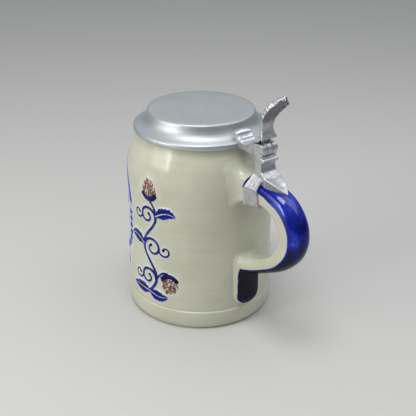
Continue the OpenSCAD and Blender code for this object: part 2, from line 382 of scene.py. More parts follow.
# ------------------------------------------------------------------ materials
def stoneware():
    """Salt-glazed clay. Attributes blue and brown are distances to paint, negative inside."""
    mat = Nodes("salt_glazed_stoneware")
    # clay: warm pale grey clouds, faint horizontal throwing streaks and a few iron specks
    streak = mat.noise(scale=1.0, detail=4, rough=0.6, stretch=(9, 9, 420))
    cloud = mat.noise(scale=38, detail=5, rough=0.55)
    speck = mat.noise(scale=900, detail=2, rough=0.5, seed=3.1)
    clay = mat.mix(mat.ramp(cloud, span=(0.3, 0.7)), srgb(188, 188, 169), srgb(197, 198, 180))
    clay = mat.mix(mat.ramp(streak, span=(0.42, 0.72), out=(0, 0.20)), clay,
                   srgb(174, 172, 150))
    clay = mat.mix(mat.ramp(speck, span=(0.73, 0.80), out=(0, 0.45)), clay,
                   srgb(128, 112, 90))
    # pale round the paint, unevenly laid: partly pale slip, partly painted highlight on the raised
    # edges and painted light round the strokes
    patchy = mat.ramp(mat.noise(scale=150, detail=3, rough=0.6, seed=11.0),
                      span=(0.35, 0.65), out=(0.35, 0.95))
    pale = mat.ramp(mat.attr("pale"), span=(0.2, 0.75))
    base = mat.mix(mat.mul(pale, patchy), clay, srgb(216, 217, 206))
    # brown on the cones: dark in the hollows and pale on the crests, partly glaze and partly
    # painted shade and painted highlight; paint edges waver
    waver = mat.centred(mat.noise(scale=700, detail=3, rough=0.6, seed=1.7), gain=0.45)
    grain = mat.noise(scale=1250, detail=3, rough=0.6, seed=5.0)
    tone = mat.add(mat.attr("crest_glaze_and_shade"), mat.centred(grain, gain=1.25))
    brown = mat.mix(mat.ramp(tone, span=(0.02, 0.30)), srgb(44, 26, 22), srgb(132, 92, 78))
    brown = mat.mix(mat.ramp(tone, span=(0.40, 0.70)), brown, srgb(226, 212, 196))
    brown_dist = mat.add(mat.attr("brown"), waver)
    base = mat.mix(mat.ramp(brown_dist, span=(0.15, -0.25)), base, brown)
    # cobalt: near black where it pools, bright where it is brushed thin; on the handle the depth
    # also carries painted light and shade
    brush = mat.noise(scale=1.0, detail=5, rough=0.62, seed=2.0, stretch=(260, 900, 260))
    blotch = mat.noise(scale=120, detail=4, rough=0.6, seed=8.0)
    depth = mat.add(mat.mul(mat.attr("pool_and_shade"), 1.0), mat.centred(blotch, gain=0.9))
    depth = mat.add(depth, mat.centred(brush, gain=1.1))
    cobalt = srgb(178, 192, 204)
    for span, color in (((-1.35, -0.35), (96, 130, 208)), ((-0.30, 0.30), (18, 52, 186)),
                        ((0.15, 0.60), (4, 18, 126)), ((0.60, 1.15), (4, 4, 30))):
        cobalt = mat.mix(mat.ramp(depth, span), cobalt, srgb(*color))
    blue_dist = mat.add(mat.attr("blue"), waver)
    wash = mat.ramp(blue_dist, span=(0.24, -0.16))
    # glaze: glossy with fine orange peel, duller on the bare underside of the foot
    bare = mat.ramp(mat.xyz()[2], span=(0.0012, 0.0004))
    sheen = mat.ramp(mat.noise(scale=160, detail=4, rough=0.6, seed=6.0),
                     span=(0.3, 0.75), out=(0.15, 0.27))
    peel = mat.noise(scale=620, detail=3, rough=0.5, seed=9.0)
    swell = mat.noise(scale=90, detail=2, rough=0.5, seed=4.0)
    relief = mat.bump(peel, dist=0.00009, strength=0.55)
    relief = mat.bump(swell, dist=0.0006, strength=0.25, before=relief)
    relief = mat.bump(brush, dist=0.00006, strength=0.4, before=relief)
    coat = mat.add(mat.mix_value(wash, a=0.12, b=0.14), mat.mul(mat.attr("gloss"), 0.85),
                   clamp=True)
    mat.set(Base_Color=mat.mix(wash, base, cobalt),
            Roughness=mat.add(sheen, mat.mul(bare, 0.5), clamp=True), Normal=relief, IOR=1.5,
            Specular_IOR_Level=mat.mix_value(wash, a=0.36, b=0.10),
            Coat_Weight=coat, Coat_Roughness=0.06, Coat_IOR=1.6)
    return mat.mat


def pewter_cast():
    mat = Nodes("cast_pewter")
    mottle = mat.noise(scale=330, detail=6, rough=0.68, seed=1.0)
    fine = mat.noise(scale=1900, detail=4, rough=0.6, seed=2.0)
    polish = mat.attr("polish")
    color = mat.mix(mat.ramp(mottle, span=(0.32, 0.72)), srgb(172, 173, 179),
                    srgb(208, 210, 215))
    color = mat.mix(mat.ramp(fine, span=(0.35, 0.75), out=(0, 0.5)), color,
                    srgb(212, 213, 216))
    # bright worn edges, with a painted highlight on the thumblift's upward faces; dark hollows,
    # with painted shade on some faces turned from the light; bluish polish, partly a painted sky
    # reflection on upward faces
    color = mat.mix(mat.ramp(mat.attr("edge"), span=(0.2, 1.0), out=(0, 0.7)), color,
                    srgb(226, 227, 229))
    color = mat.mix(mat.ramp(mat.attr("cavity"), span=(0.1, 1.0), out=(0, 0.75)), color,
                    srgb(84, 82, 86))
    color = mat.mix(mat.mul(polish, 0.75), color, srgb(206, 212, 220))
    rough = mat.mix_value(polish, a=mat.ramp(mottle, span=(0.3, 0.75), out=(0.46, 0.30)),
                          b=0.20)
    # polish flattens the grain
    rest = mat.math("SUBTRACT", 1.0, mat.mul(polish, 0.8))
    relief = mat.bump(mat.mul(mat.to_value(fine), rest), dist=0.00012, strength=0.45)
    relief = mat.bump(mat.mul(mat.to_value(mottle), rest), dist=0.00022, strength=0.45,
                      before=relief)
    mat.set(Base_Color=color, Roughness=rough, Metallic=0.92, Normal=relief)
    return mat.mat


def pewter_turned():
    mat = Nodes("turned_pewter")
    x, y, z = mat.xyz()
    radius = mat.math("SQRT", mat.add(mat.mul(x, x), mat.mul(y, y)))
    spun = mat.new("ShaderNodeCombineXYZ")
    mat.put(spun.inputs[0], radius)
    mat.put(spun.inputs[1], mat.mul(z, 1.0))
    # straight brushing on the flat crown, turning rings round its side
    rings = mat.noise(scale=3800, detail=3, rough=0.7, coords=spun.outputs[0])
    brush = mat.noise(scale=1.0, detail=5, rough=0.65, seed=1.2, stretch=(60, 2600, 60))
    crown = mat.ramp(radius, span=(0.0335, 0.0325))
    grain = mat.to_value(mat.mix(crown, rings, brush))
    cloud = mat.noise(scale=55, detail=5, rough=0.6, seed=7.0)
    stain = mat.noise(scale=420, detail=5, rough=0.65, seed=3.0)
    color = mat.mix(mat.ramp(cloud, span=(0.3, 0.7)), srgb(196, 203, 206), srgb(208, 212, 213))
    color = mat.mix(mat.ramp(grain, span=(0.35, 0.75), out=(0, 0.35)), color,
                    srgb(214, 218, 220))
    color = mat.mix(mat.ramp(stain, span=(0.62, 0.8), out=(0, 0.35)), color,
                    srgb(150, 152, 156))
    # painted shade: off the flat crown, the cove and the side are darker
    color = mat.mix(mat.mul(mat.math("SUBTRACT", 1.0, crown), 0.35), color,
                    srgb(162, 169, 172))
    rough = mat.add(mat.ramp(grain, span=(0.3, 0.75), out=(0.54, 0.42)),
                    mat.mul(crown, -0.12))
    dents = mat.noise(scale=60, detail=2, rough=0.5, seed=5.5)
    relief = mat.bump(grain, dist=0.00005, strength=0.45)
    relief = mat.bump(dents, dist=0.0004, strength=0.25, before=relief)
    mat.set(Base_Color=color, Roughness=rough, Metallic=0.95, Normal=relief)
    return mat.mat


def wire_steel():
    mat = Nodes("pin_steel")
    grain = mat.noise(scale=1.0, detail=3, rough=0.6, stretch=(900, 90, 900))
    color = mat.mix(mat.ramp(grain, span=(0.3, 0.7)), srgb(120, 118, 116), srgb(160, 158, 155))
    mat.set(Base_Color=color, Roughness=mat.ramp(grain, span=(0.3, 0.7), out=(0.3, 0.45)),
            Metallic=1.0, Normal=mat.bump(grain, dist=0.00004, strength=0.5))
    return mat.mat


CLAY, CAST, TURNED, STEEL = stoneware(), pewter_cast(), pewter_turned(), wire_steel()

# ------------------------------------------------------------------ the barrel's shape
# throwing rings: height, spacing, phase
RINGS = [(0.010, 5.3, 0.4), (0.008, 3.7, 1.9), (0.006, 2.1, 3.3), (0.012, 9.7, 5.0)]
# outside of foot and wall: radius, z
OUTSIDE = np.vstack([
    smooth([(47.75, 1.35), (48.35, 2.6), (48.75, 4.4), (48.95, 6.6), (49.02, 9.0),
            (49.02, 11.0), (49.0, 12.0), (48.9, 12.45), (48.55, 12.78), (48.2, 13.0),
            (48.1, 13.4), (48.22, 14.0)], 5)[:-1],
    smooth([(48.22, 14.0), (48.25, 22), (47.95, 33), (47.55, 48), (47.4, 64), (47.5, 80),
            (47.62, 92), (47.2, 101.5), (45.95, 108.6), (43.85, 114.6), (42.0, 118.8),
            (41.1, 122.2), (40.75, 123.2)], 10)])
# underside, lip and inside: radius, z
FOOT = [(36.0, 0.35), (38.5, 0.1), (40.5, 0.0), (45.3, 0.0), (46.3, 0.12), (47.1, 0.55)]
LIP = [(40.7, 123.3), (40.35, 123.8), (39.7, 124.08), (39.0, 124.1), (38.4, 123.85),
       (37.8, 123.2), (37.35, 122.4)]
FLOOR_Z = 8.0
INSIDE = [(37.3, 122.4), (37.8, 118.6), (39.6, 113.6), (41.6, 107.6), (42.7, 100), (42.8, 84),
          (42.6, 60), (42.9, 34), (42.9, 18), (41.8, 12.2), (38.4, 9.0), (30, 8.2),
          (16, 8.05), (1.0, FLOOR_Z)]


def barrel_r(z):
    r = np.interp(z, OUTSIDE[:, 1], OUTSIDE[:, 0])
    fade = step(15, 20, z) * step(122, 116, z)
    for height, spacing, phase in RINGS:
        wave = np.sin(2 * np.pi * z / spacing + phase + 0.9 * np.sin(z / 23.0 + phase))
        r = r + fade * height * wave
    return r


# ------------------------------------------------------------------ decoration tools
# Drawn on the unrolled barrel: u along the girth from the handle's middle, z up. Only one side
# is drawn, from the seam opposite the handle inwards; the other is its mirror.
DECO_R = 47.5
DECO_CELL = 0.42
PLAIN_U = 38.0                    # plain clay from the handle out to here, on both sides
SEAM = -math.pi * DECO_R
DECO_LOW, DECO_HIGH = 14.2, 105.2
CORD = 1.3                        # width of a stroke of weight 1


def deco_axis(start, end):
    return np.linspace(start, end, int(round((end - start) / DECO_CELL)) + 1)


deco_u, deco_z = deco_axis(SEAM, -PLAIN_U), deco_axis(DECO_LOW, DECO_HIGH)
GRID_U, GRID_Z = np.meshgrid(deco_u, deco_z, indexing="ij")
# blue, brown, halo: distances to paint and to the pale surround, the surround partly painted
# highlight; then the cobalt's depth, on the handle also painted light and shade
START = {"blue": FAR, "brown": FAR, "halo": FAR, "height": 0.0, "crest_glaze_and_shade": 0.0, "pool_and_shade": 0.45}
deco = {key: np.full(GRID_U.shape, value) for key, value in START.items()}


def window(points, pad):
    """The part of the grid round some points."""
    lo, hi = np.min(points, axis=0) - pad, np.max(points, axis=0) + pad
    return tuple(slice(max(i - 1, 0), j + 1) for i, j in
                 (np.searchsorted(axis, (lo[k], hi[k]))
                  for k, axis in enumerate((deco_u, deco_z))))


def lay(win, height, **dists):
    """Add a shape: the greater height and the lesser distances win."""
    deco["height"][win] = np.maximum(deco["height"][win], height)
    for key, dist in dists.items():
        deco[key][win] = np.minimum(deco[key][win], dist)


def fill(key, win, where, value):
    deco[key][win] = np.where(where, value, deco[key][win])


def line_dist(points):
    """Distance to a line and the place along it, 0 to 1, in a window of the grid."""
    win = window(points, 4.0)
    index, t, gap = nearest(points, GRID_U[win], GRID_Z[win])
    seg, run = lengths(points)
    return win, np.sqrt(gap), (run[index] + np.clip(t, 0, 1) * seg[index]) / run[-1]


def resample(points, spacing):
    run = lengths(points)[1]
    places = np.arange(0, run[-1], spacing)
    return np.stack([np.interp(places, run, points[:, k]) for k in (0, 1)], 1)


def stroke(points, start=1.3, end=None, rise=0.5, pool_and_shade=0.8, steps=7):
    """A raised cord with cobalt on it, between fine pale edges."""
    end = start if end is None else end
    win, dist, t = line_dist(smooth(points, steps))
    half = 0.5 * CORD * (start + (end - start) * t)
    edge = dist - half
    cord = rise * np.sqrt(np.clip(1 - (dist / (half + 0.45)) ** 2, 0, 1))
    lay(win, np.maximum(cord, 0.16 * step(1.6, 0.1, edge)), blue=edge, halo=edge - 0.32)
    core = 0.95 * bell(dist, 0.46 * half) if start < 2.0 else 0.3
    fill("pool_and_shade", win, edge < 0.4, pool_and_shade + 0.28 - core + 0.15 * np.sin(9 * t + start * 7))


def dot(u, z, radius=0.9):
    stroke([(u - 0.05, z), (u + 0.05, z)], 2 * radius, rise=0.45, steps=1)


def curl(u, z, radius, angle, turns, start=1.2, end=0.9, flip=1):
    """A tendril's spiral ending in a bead."""
    t = np.linspace(0, 1, 26)
    r = radius * (1 - 0.72 * t)
    turn = math.radians(angle) + flip * 2 * math.pi * turns * t
    points = np.stack([u + r * np.cos(turn), z + r * np.sin(turn)], 1)
    stroke(points, start, end, steps=1)
    dot(*points[-1], radius=0.85)


def cone(centre_u, centre_z, length, width, angle, seed):
    """A hop cone: overlapping scales, brown and dark in the hollows and pale on the tips, partly
    painted shade and painted highlight.
    """
    cos_a, sin_a = math.cos(math.radians(angle)), math.sin(math.radians(angle))
    win = window([(centre_u - length, centre_z - length),
                  (centre_u + length, centre_z + length)], 1.0)
    u, z = GRID_U[win] - centre_u, GRID_Z[win] - centre_z
    along, across = u * cos_a + z * sin_a, -u * sin_a + z * cos_a     # along: stalk to tip
    rows = int(length / 1.85)
    best = np.full(u.shape, 9.0)
    height, crest_glaze_and_shade = np.zeros(u.shape), np.zeros(u.shape)
    for i in range(rows):
        t = (i + 0.5) / rows
        half = 0.5 * width * math.sin(math.pi * (0.16 + 0.80 * t) ** 0.9) ** 0.62
        cols = max(1, int(round(2 * half / 2.25)))
        for j in range(cols):
            jitter = hash2(i + seed, j)
            mid_along = (t - 0.5) * length + 1.1 * (jitter - 0.5)
            mid_across = (j + 0.5) / cols * 2 * half - half + (0.35 if i % 2 else -0.35)
            mid_across += 0.9 * (hash2(i + 5, j + seed) - 0.5)
            size = 0.82 + 0.34 * hash2(i * 7 + seed, j * 3)
            off = (along - mid_along) / (1.42 * size)
            dist = np.sqrt(off * off + ((across - mid_across) / (1.25 * size)) ** 2)
            best = np.minimum(best, (dist - 1) * 1.2)
            dome = np.clip(1 - dist * dist, 0, 1) ** 0.55
            scale = dome * np.clip(0.55 + 0.45 * off, 0.1, 1) * (0.85 + 0.3 * jitter)
            over = scale > height
            height = np.where(over, scale, height)
            # each scale's brightness on its crest, partly a painted highlight
            bright = 0.50 + 0.85 * hash2(i * 3 + 1, j + seed)
            crest_glaze_and_shade = np.where(over, scale * bright - 0.10, crest_glaze_and_shade)
    relief = np.where(best < 0.3, 0.45 * step(1.0, -2.6, best) + 0.80 * height,
                      0.16 * step(1.4, 0.1, best))
    lay(win, relief, brown=best, halo=best - 0.35)
    fill("crest_glaze_and_shade", win, best < 0.2, crest_glaze_and_shade)
    fill("blue", win, best < -0.3, FAR)


def lobe(points, widths, teeth, bite):
    """A cobalt leaf with toothed edges. Widths are pairs, one for each side."""
    mid = smooth(points, 8)
    t = np.linspace(0, 1, len(mid))
    tangent = np.gradient(mid, axis=0)
    tangent /= np.linalg.norm(tangent, axis=1)[:, None]
    normal = np.stack([-tangent[:, 1], tangent[:, 0]], 1)
    saw = 1 - np.abs(((t * teeth) % 1.0) * 2 - 1)
    notch = bite * saw * np.minimum(1, 4 * t * (1 - t) + 0.2)
    places = np.linspace(0, 1, len(widths))
    left, right = (np.interp(t, places, side)[:, None] + notch[:, None]
                   for side in zip(*widths))
    outline = np.vstack([mid + normal * left, (mid - normal * right)[::-1]])
    win = window(outline, 2.5)
    dist = poly_sdf(GRID_U[win], GRID_Z[win], outline)
    lay(win, 0.5 * bell(dist + 0.15, 0.5) + 0.26 * step(0.5, -0.5, dist),
        blue=dist, halo=dist - 0.75)
    fill("pool_and_shade", win, dist < 0.3, 0.85 - 0.5 * bell(dist + 0.3, 0.6))


def ribbed_leaf(points, widths, bite=0.9):
    """A toothed leaf with a raised unpainted rib down its middle."""
    lobe(points, widths, 8, bite)
    win, dist, t = line_dist(smooth(points, 8))
    half = 0.5 * (0.75 + (0.4 - 0.75) * t)
    deco["blue"][win] = np.maximum(deco["blue"][win], half - dist)
    lay(win, 0.62 * np.sqrt(np.clip(1 - (dist / (half + 0.35)) ** 2, 0, 1)),
        halo=dist - half - 0.2)


def blade(outline):
    """A filled leaf shape: cobalt within a raised, paler margin."""
    outline = smooth(outline, 5, closed=True)
    win = window(outline, 2.5)
    dist = poly_sdf(GRID_U[win], GRID_Z[win], outline)
    lay(win, 0.48 * bell(dist + 0.2, 0.5) + 0.4 * step(0.5, -0.5, dist),
        blue=dist, halo=dist - 0.1)
    fill("pool_and_shade", win, dist < 0.25, 1.0 - 0.75 * bell(dist + 0.25, 0.42))


# ------------------------------------------------------------------ side spray
# A stem swings about its middle line, a scroll leaves it tangentially in each hollow, a smaller
# one springs back off that, and leaves and two buds fill what is left.
SPRAY_U, SPRAY_LOW, SPRAY_TALL, SWING, WAVES = -66.0, 22.0, 66.0, 5.5, 1.5
BUD_LONG, BUD_WIDE = 13.0, 11.5


def stem_at(t):
    return np.array([SPRAY_U + SWING * math.sin(2 * math.pi * WAVES * t),
                     SPRAY_LOW + SPRAY_TALL * t])


def scroll(t, side, radius, small):
    """A scroll off the stem towards side (1 is +u), with a smaller one off its far edge."""
    turns, tighten = 1.2, 0.72
    start, tangent = stem_at(t), stem_at(t + 0.01) - stem_at(t - 0.01)
    tangent = tangent / np.linalg.norm(tangent)
    centre = start + radius * side * np.array([tangent[1], -tangent[0]])
    angle = math.degrees(math.atan2(start[1] - centre[1], start[0] - centre[0]))
    curl(*centre, radius, angle, turns, start=1.6, end=1.15, flip=-side)
    swept = (180 + (angle - 180) if side > 0 else 180 - angle) % 360 / (turns * 360)
    rim = radius * (1 - tighten * min(swept, 0.5))
    curl(centre[0] + side * (rim + small), centre[1], small, 180 if side > 0 else 0, 0.95,
         start=1.15, flip=side)


def leaf(start, side, long, rise):
    """A leaf springing from start, arched over its length."""
    ribbed_leaf([(start[0] + side * long * t, start[1] + rise * math.sin(math.pi * 0.8 * t))
                 for t in (0.0, 0.3, 0.65, 1.0)],
                [(0.8, 0.8), (3.6, 3.4), (3.0, 2.9), (0.2, 0.2)])


def bud(u, z, angle, seed):
    """A bud with a blue collar at its stalk end."""
    cos_a, sin_a = math.cos(math.radians(angle)), math.sin(math.radians(angle))
    cone(u + 0.5 * BUD_LONG * cos_a, z + 0.5 * BUD_LONG * sin_a, BUD_LONG, BUD_WIDE, angle,
         seed)
    reach, sag = 0.42 * BUD_WIDE, 2.6
    stroke([(u - sin_a * k * reach + cos_a * sag * k * k,
             z + cos_a * k * reach + sin_a * sag * k * k)
            for k in (-1, -0.5, 0, 0.5, 1)], 2.6, 2.2, rise=0.9, pool_and_shade=0.95)


def draw_spray():
    stroke([stem_at(t) for t in np.linspace(0, 1, 23)], 1.7, 1.2, steps=3)
    scroll(0.12, side=-1, radius=7.0, small=4.2)
    scroll(0.45, side=1, radius=7.5, small=4.6)
    scroll(0.78, side=-1, radius=7.0, small=4.2)
    for t, side, long, rise in ((0.0, -1, 16.5, 0.4), (0.0, 1, 14.0, -2.0),
                                (0.5, -1, 14.0, 3.6), (0.84, 1, 14.0, 3.6)):
        leaf(stem_at(t), side, long, rise)
    bud(SPRAY_U, SPRAY_LOW + SPRAY_TALL, angle=90, seed=3)
    fork = stem_at(1 / 6)
    low_bud = fork + [9.5, 4.0]
    stroke([fork, fork + [4.0, 4.6], low_bud + [-2.0, 1.4], low_bud], 1.2)
    bud(*low_bud, angle=270, seed=11)


# ------------------------------------------------------------------ panel opposite the handle
def panel(low, high, half, corner, arch):
    """Half of an arched frame, from its top centre on the seam to its foot centre."""
    points = [(SEAM, high), (SEAM + half - arch, high)]
    for a in map(math.radians, range(0, 91, 10)):
        points.append((SEAM + half - arch + arch * math.sin(a),
                       high - arch + arch * math.cos(a)))
    for a in map(math.radians, range(0, 91, 15)):
        points.append((SEAM + half - corner + corner * math.cos(a),
                       low + corner - corner * math.sin(a)))
    points.append((SEAM, low))
    return np.array(points)


def from_seam(*points):
    return [(SEAM + u, z) for u, z in points]


def draw_frame():
    line = resample(panel(38.0, 103.6, half=58.0, corner=17.0, arch=30.0), 0.8)
    upper, low = line[line[:, 1] > 71.8], line[line[:, 1] <= 73.0]
    stroke(upper[::3] + [0.5, 0], 5.2, rise=0.55, pool_and_shade=0.3, steps=3)
    stroke(low[::3] + [0.6, 0], 5.6, rise=0.12, pool_and_shade=-1.15, steps=3)
    for k in range(4, len(low) - 4, 6):           # a row of blades along the lower part
        along = low[k + 1] - low[k - 1]
        along = along / np.linalg.norm(along)
        across = np.array([-along[1], along[0]])
        centre = low[k] + [1.6 * abs(along[1]), 0] + [0, 0.8 * abs(along[0])]
        blade([centre + along * a + across * b for a, b in
               ((-1.45, -1.4), (-1.25, 1.7), (0.1, 1.9), (1.45, 1.4), (1.25, -1.7),
                (-0.1, -1.9))])
    inner = panel(43.0, 98.0, half=52.0, corner=12.0, arch=25.0)
    stroke(resample(inner, 2.0), 0.7, rise=0.3, pool_and_shade=0.3, steps=1)


def draw_wreath():
    cone(SEAM, 68.0, 22.0, 17.0, angle=270, seed=21)
    stroke(from_seam((0, 80.0), (0.4, 86.0), (0.1, 92.5)), 1.8, 1.2)
    ribbed_leaf(from_seam((0.6, 82.0), (5.0, 85.5), (10.5, 86.5), (16.0, 83.5)),
                [(1.2, 1.2), (3.2, 3.0), (3.4, 3.0), (0.2, 0.2)], bite=1.0)
    stroke(from_seam((0.3, 91.0), (8.0, 93.5), (17.0, 93.0), (25.0, 89.0), (30.0, 82.0),
                     (31.0, 74.0)), 1.4, 1.2)
    curl(SEAM + 36.5, 88.5, radius=4.2, angle=200, turns=0.95)
    stroke(from_seam((27.0, 87.0), (30.0, 88.6), (32.6, 87.2)), 1.2, 1.1)
    cone(SEAM + 31.0, 65.5, 14.0, 12.0, angle=272, seed=31)
    stroke(from_seam((25.6, 70.4), (27.4, 73.6), (31.0, 74.4), (34.6, 73.6), (36.4, 70.4)),
           2.1, 1.4, rise=0.75, pool_and_shade=1.0)
    curl(SEAM + 45.0, 74.0, radius=4.6, angle=20, turns=-1.0)
    curl(SEAM + 46.0, 60.0, radius=3.6, angle=150, turns=0.95)
    stroke(from_seam((31.6, 56.6), (36.0, 52.0), (42.0, 52.4), (44.6, 56.8)), 1.2, 1.1)
    ribbed_leaf(from_seam((3.0, 52.0), (9.0, 53.6), (15.0, 52.6), (21.0, 48.8)),
                [(1.0, 1.0), (2.8, 2.6), (2.8, 2.4), (0.2, 0.2)])
    curl(SEAM + 16.5, 64.0, radius=4.4, angle=250, turns=0.95)
    curl(SEAM + 17.0, 74.5, radius=3.4, angle=90, turns=-0.9)
    stroke(from_seam((0, 56.4), (0.2, 52.0), (3.0, 49.8), (24.0, 47.4), (31.6, 52.0),
                     (31.4, 58.0)), 1.2, 1.1)


def draw_bands():
    """Beads and darts under the panel, over two plain cords."""
    for k in range(9):
        u = SEAM + 6.4 * k
        dot(u, 31.8)
        lobe([(u + 3.2, 33.9), (u + 3.3, 31.8), (u + 3.2, 28.8)],
             [(0.3, 0.3), (1.0, 1.0), (0.1, 0.1)], teeth=3, bite=0.1)
    stroke(from_seam((0, 26.6), (20.0, 26.9), (40.0, 26.4), (52.0, 27.2)), 1.1, 1.0)
    stroke(from_seam((0, 22.6), (20.0, 22.9), (40.0, 22.4), (49.0, 21.6)), 0.8, 0.7, rise=0.3)


draw_spray()
draw_frame()
draw_wreath()
draw_bands()


# ------------------------------------------------------------------ stoneware body
def build_body():
    plain = np.linspace(-PLAIN_U, PLAIN_U, int(round(2 * PLAIN_U / 1.6)) + 1)
    left, right = deco_u[:-1], -deco_u[::-1][1:-1]
    theta = np.concatenate([left, plain, right]) / DECO_R
    foot_z = OUTSIDE[OUTSIDE[:, 1] < DECO_LOW][:, 1]
    heights = np.concatenate([foot_z, deco_z, np.arange(DECO_HIGH + 0.8, 123.0, 0.9)])
    rows = np.vstack([FOOT, np.stack([barrel_r(heights), heights], 1), smooth(LIP, 3)[1:],
                      smooth(INSIDE, 4)[1:]])
    first = len(FOOT) + len(foot_z)
    last = first + len(deco_z)

    def wrap(source, rest=0.0):
        """Decoration on both sides of the barrel, and a rest value elsewhere."""
        out = np.full((len(rows), len(theta)), rest)
        out[first:last, :len(left)] = source[:-1].T
        out[first:last, len(left) + len(plain):] = source[::-1][1:-1].T
        return out

    halo, height = deco["halo"], deco["height"]
    # pale: thin bright outlines and a faint wide surround, partly glaze and partly painted
    # highlight and painted light
    pale = np.maximum(step(0.5, -0.05, halo), 0.42 * step(7.0, 0.5, halo))
    kernel = np.array([1, 2, 1]) / 4.0
    for axis in (0, 1):
        height = np.apply_along_axis(lambda v: np.convolve(v, kernel, "same"), axis, height)
    fade_z = np.minimum(step(DECO_LOW, DECO_LOW + 2, GRID_Z),
                        step(DECO_HIGH, DECO_HIGH - 2, GRID_Z))
    height = height * np.minimum(step(-PLAIN_U, -PLAIN_U - 3, GRID_U), fade_z)
    r = rows[:, 0][:, None] + wrap(height)
    z = np.repeat(rows[:, 1][:, None], len(theta), 1)
    verts, faces = lathe_solid(r * np.cos(theta), r * np.sin(theta), z,
                               [[0, 0, FOOT[0][1]], [0, 0, FLOOR_Z]])
    attrs = {key: np.append(wrap(source, rest), [rest] * 2) for key, source, rest in
             (("blue", deco["blue"], FAR), ("brown", deco["brown"], FAR), ("pale", pale, 0.0),
              ("crest_glaze_and_shade", deco["crest_glaze_and_shade"], 0.0), ("pool_and_shade", deco["pool_and_shade"], 0.0))}
    make("mug_body", verts, faces, CLAY, "stein", "stoneware_body",
         attrs)


build_body()

# ------------------------------------------------------------------ handle
# middle line of the loop from its upper root to its lower: x, z, side thickness, half width,
# crown height
STATIONS = smooth([
    (43.6, 99.0, 16.0, 8.8, 3.2), (50, 98.9, 15.2, 8.7, 3.5), (58, 98.9, 12.8, 8.4, 4.2),
    (66, 98.5, 9.6, 8.1, 4.6), (72.5, 97.2, 8.5, 7.8, 5.2), (78.3, 94.6, 8.9, 7.7, 5.7),
    (83.0, 90.6, 9.1, 7.7, 6.0), (86.5, 85.4, 9.0, 7.7, 6.1), (87.6, 79.7, 8.9, 7.7, 6.0),
    (86.8, 73.8, 8.6, 7.7, 5.7), (84.0, 68.0, 8.0, 7.7, 5.2), (79.2, 62.1, 7.1, 7.9, 4.5),
    (72.4, 57.1, 6.4, 7.8, 3.9), (62.9, 51.8, 6.3, 7.5, 3.6), (54.6, 48.4, 6.8, 7.2, 3.4),
    (44.6, 45.4, 7.6, 7.2, 3.2)], 10)
# the pressed terminal under the lower root: middle, half width, centre of its round end
TAB_Y, TAB_HALF, TAB_Z = 0.7, 9.2, 23.2


def along_handle(x, z):
    """Nearest place on the middle line: signed distance outwards, side thickness, half width,
    crown height and run, 0 to 1."""
    index, t, gap = nearest(STATIONS, x, z)
    t = np.clip(t, 0, 1)
    start = STATIONS[index, :2]
    edge = STATIONS[index + 1, :2] - start
    size = np.hypot(edge[..., 0], edge[..., 1])
    dx = x - start[..., 0] - t * edge[..., 0]
    dz = z - start[..., 1] - t * edge[..., 1]
    side = dx * (-edge[..., 1]) / size + dz * edge[..., 0] / size
    return (np.sign(side) * np.sqrt(gap), *stations_at(STATIONS, index, t),
            (index + t) / (len(STATIONS) - 1))


def handle_dist(place, y, soft=2.4):
    """Distance to the handle's D section."""
    out, thick, half, crown = place[:4]
    over = np.maximum(out - thick / 2, 0)
    level = np.sqrt((over / crown) ** 2 + (y / half) ** 2) + 1e-6
    slope = np.sqrt((over / (crown * crown * level)) ** 2
                    + (y / (half * half * level)) ** 2) + 1e-6
    return smax(-(out + thick / 2), (level - 1) / slope, soft)


def tab_2d(y, z):
    """The terminal's top face, unrolled on the barrel, negative inside."""
    y = y - TAB_Y
    half = np.interp(z, [0, 38, 44, 50], [TAB_HALF, TAB_HALF, 8.7, 7.4])
    return np.where(z > TAB_Z, np.abs(y) - half, np.hypot(y, z - TAB_Z) - TAB_HALF)


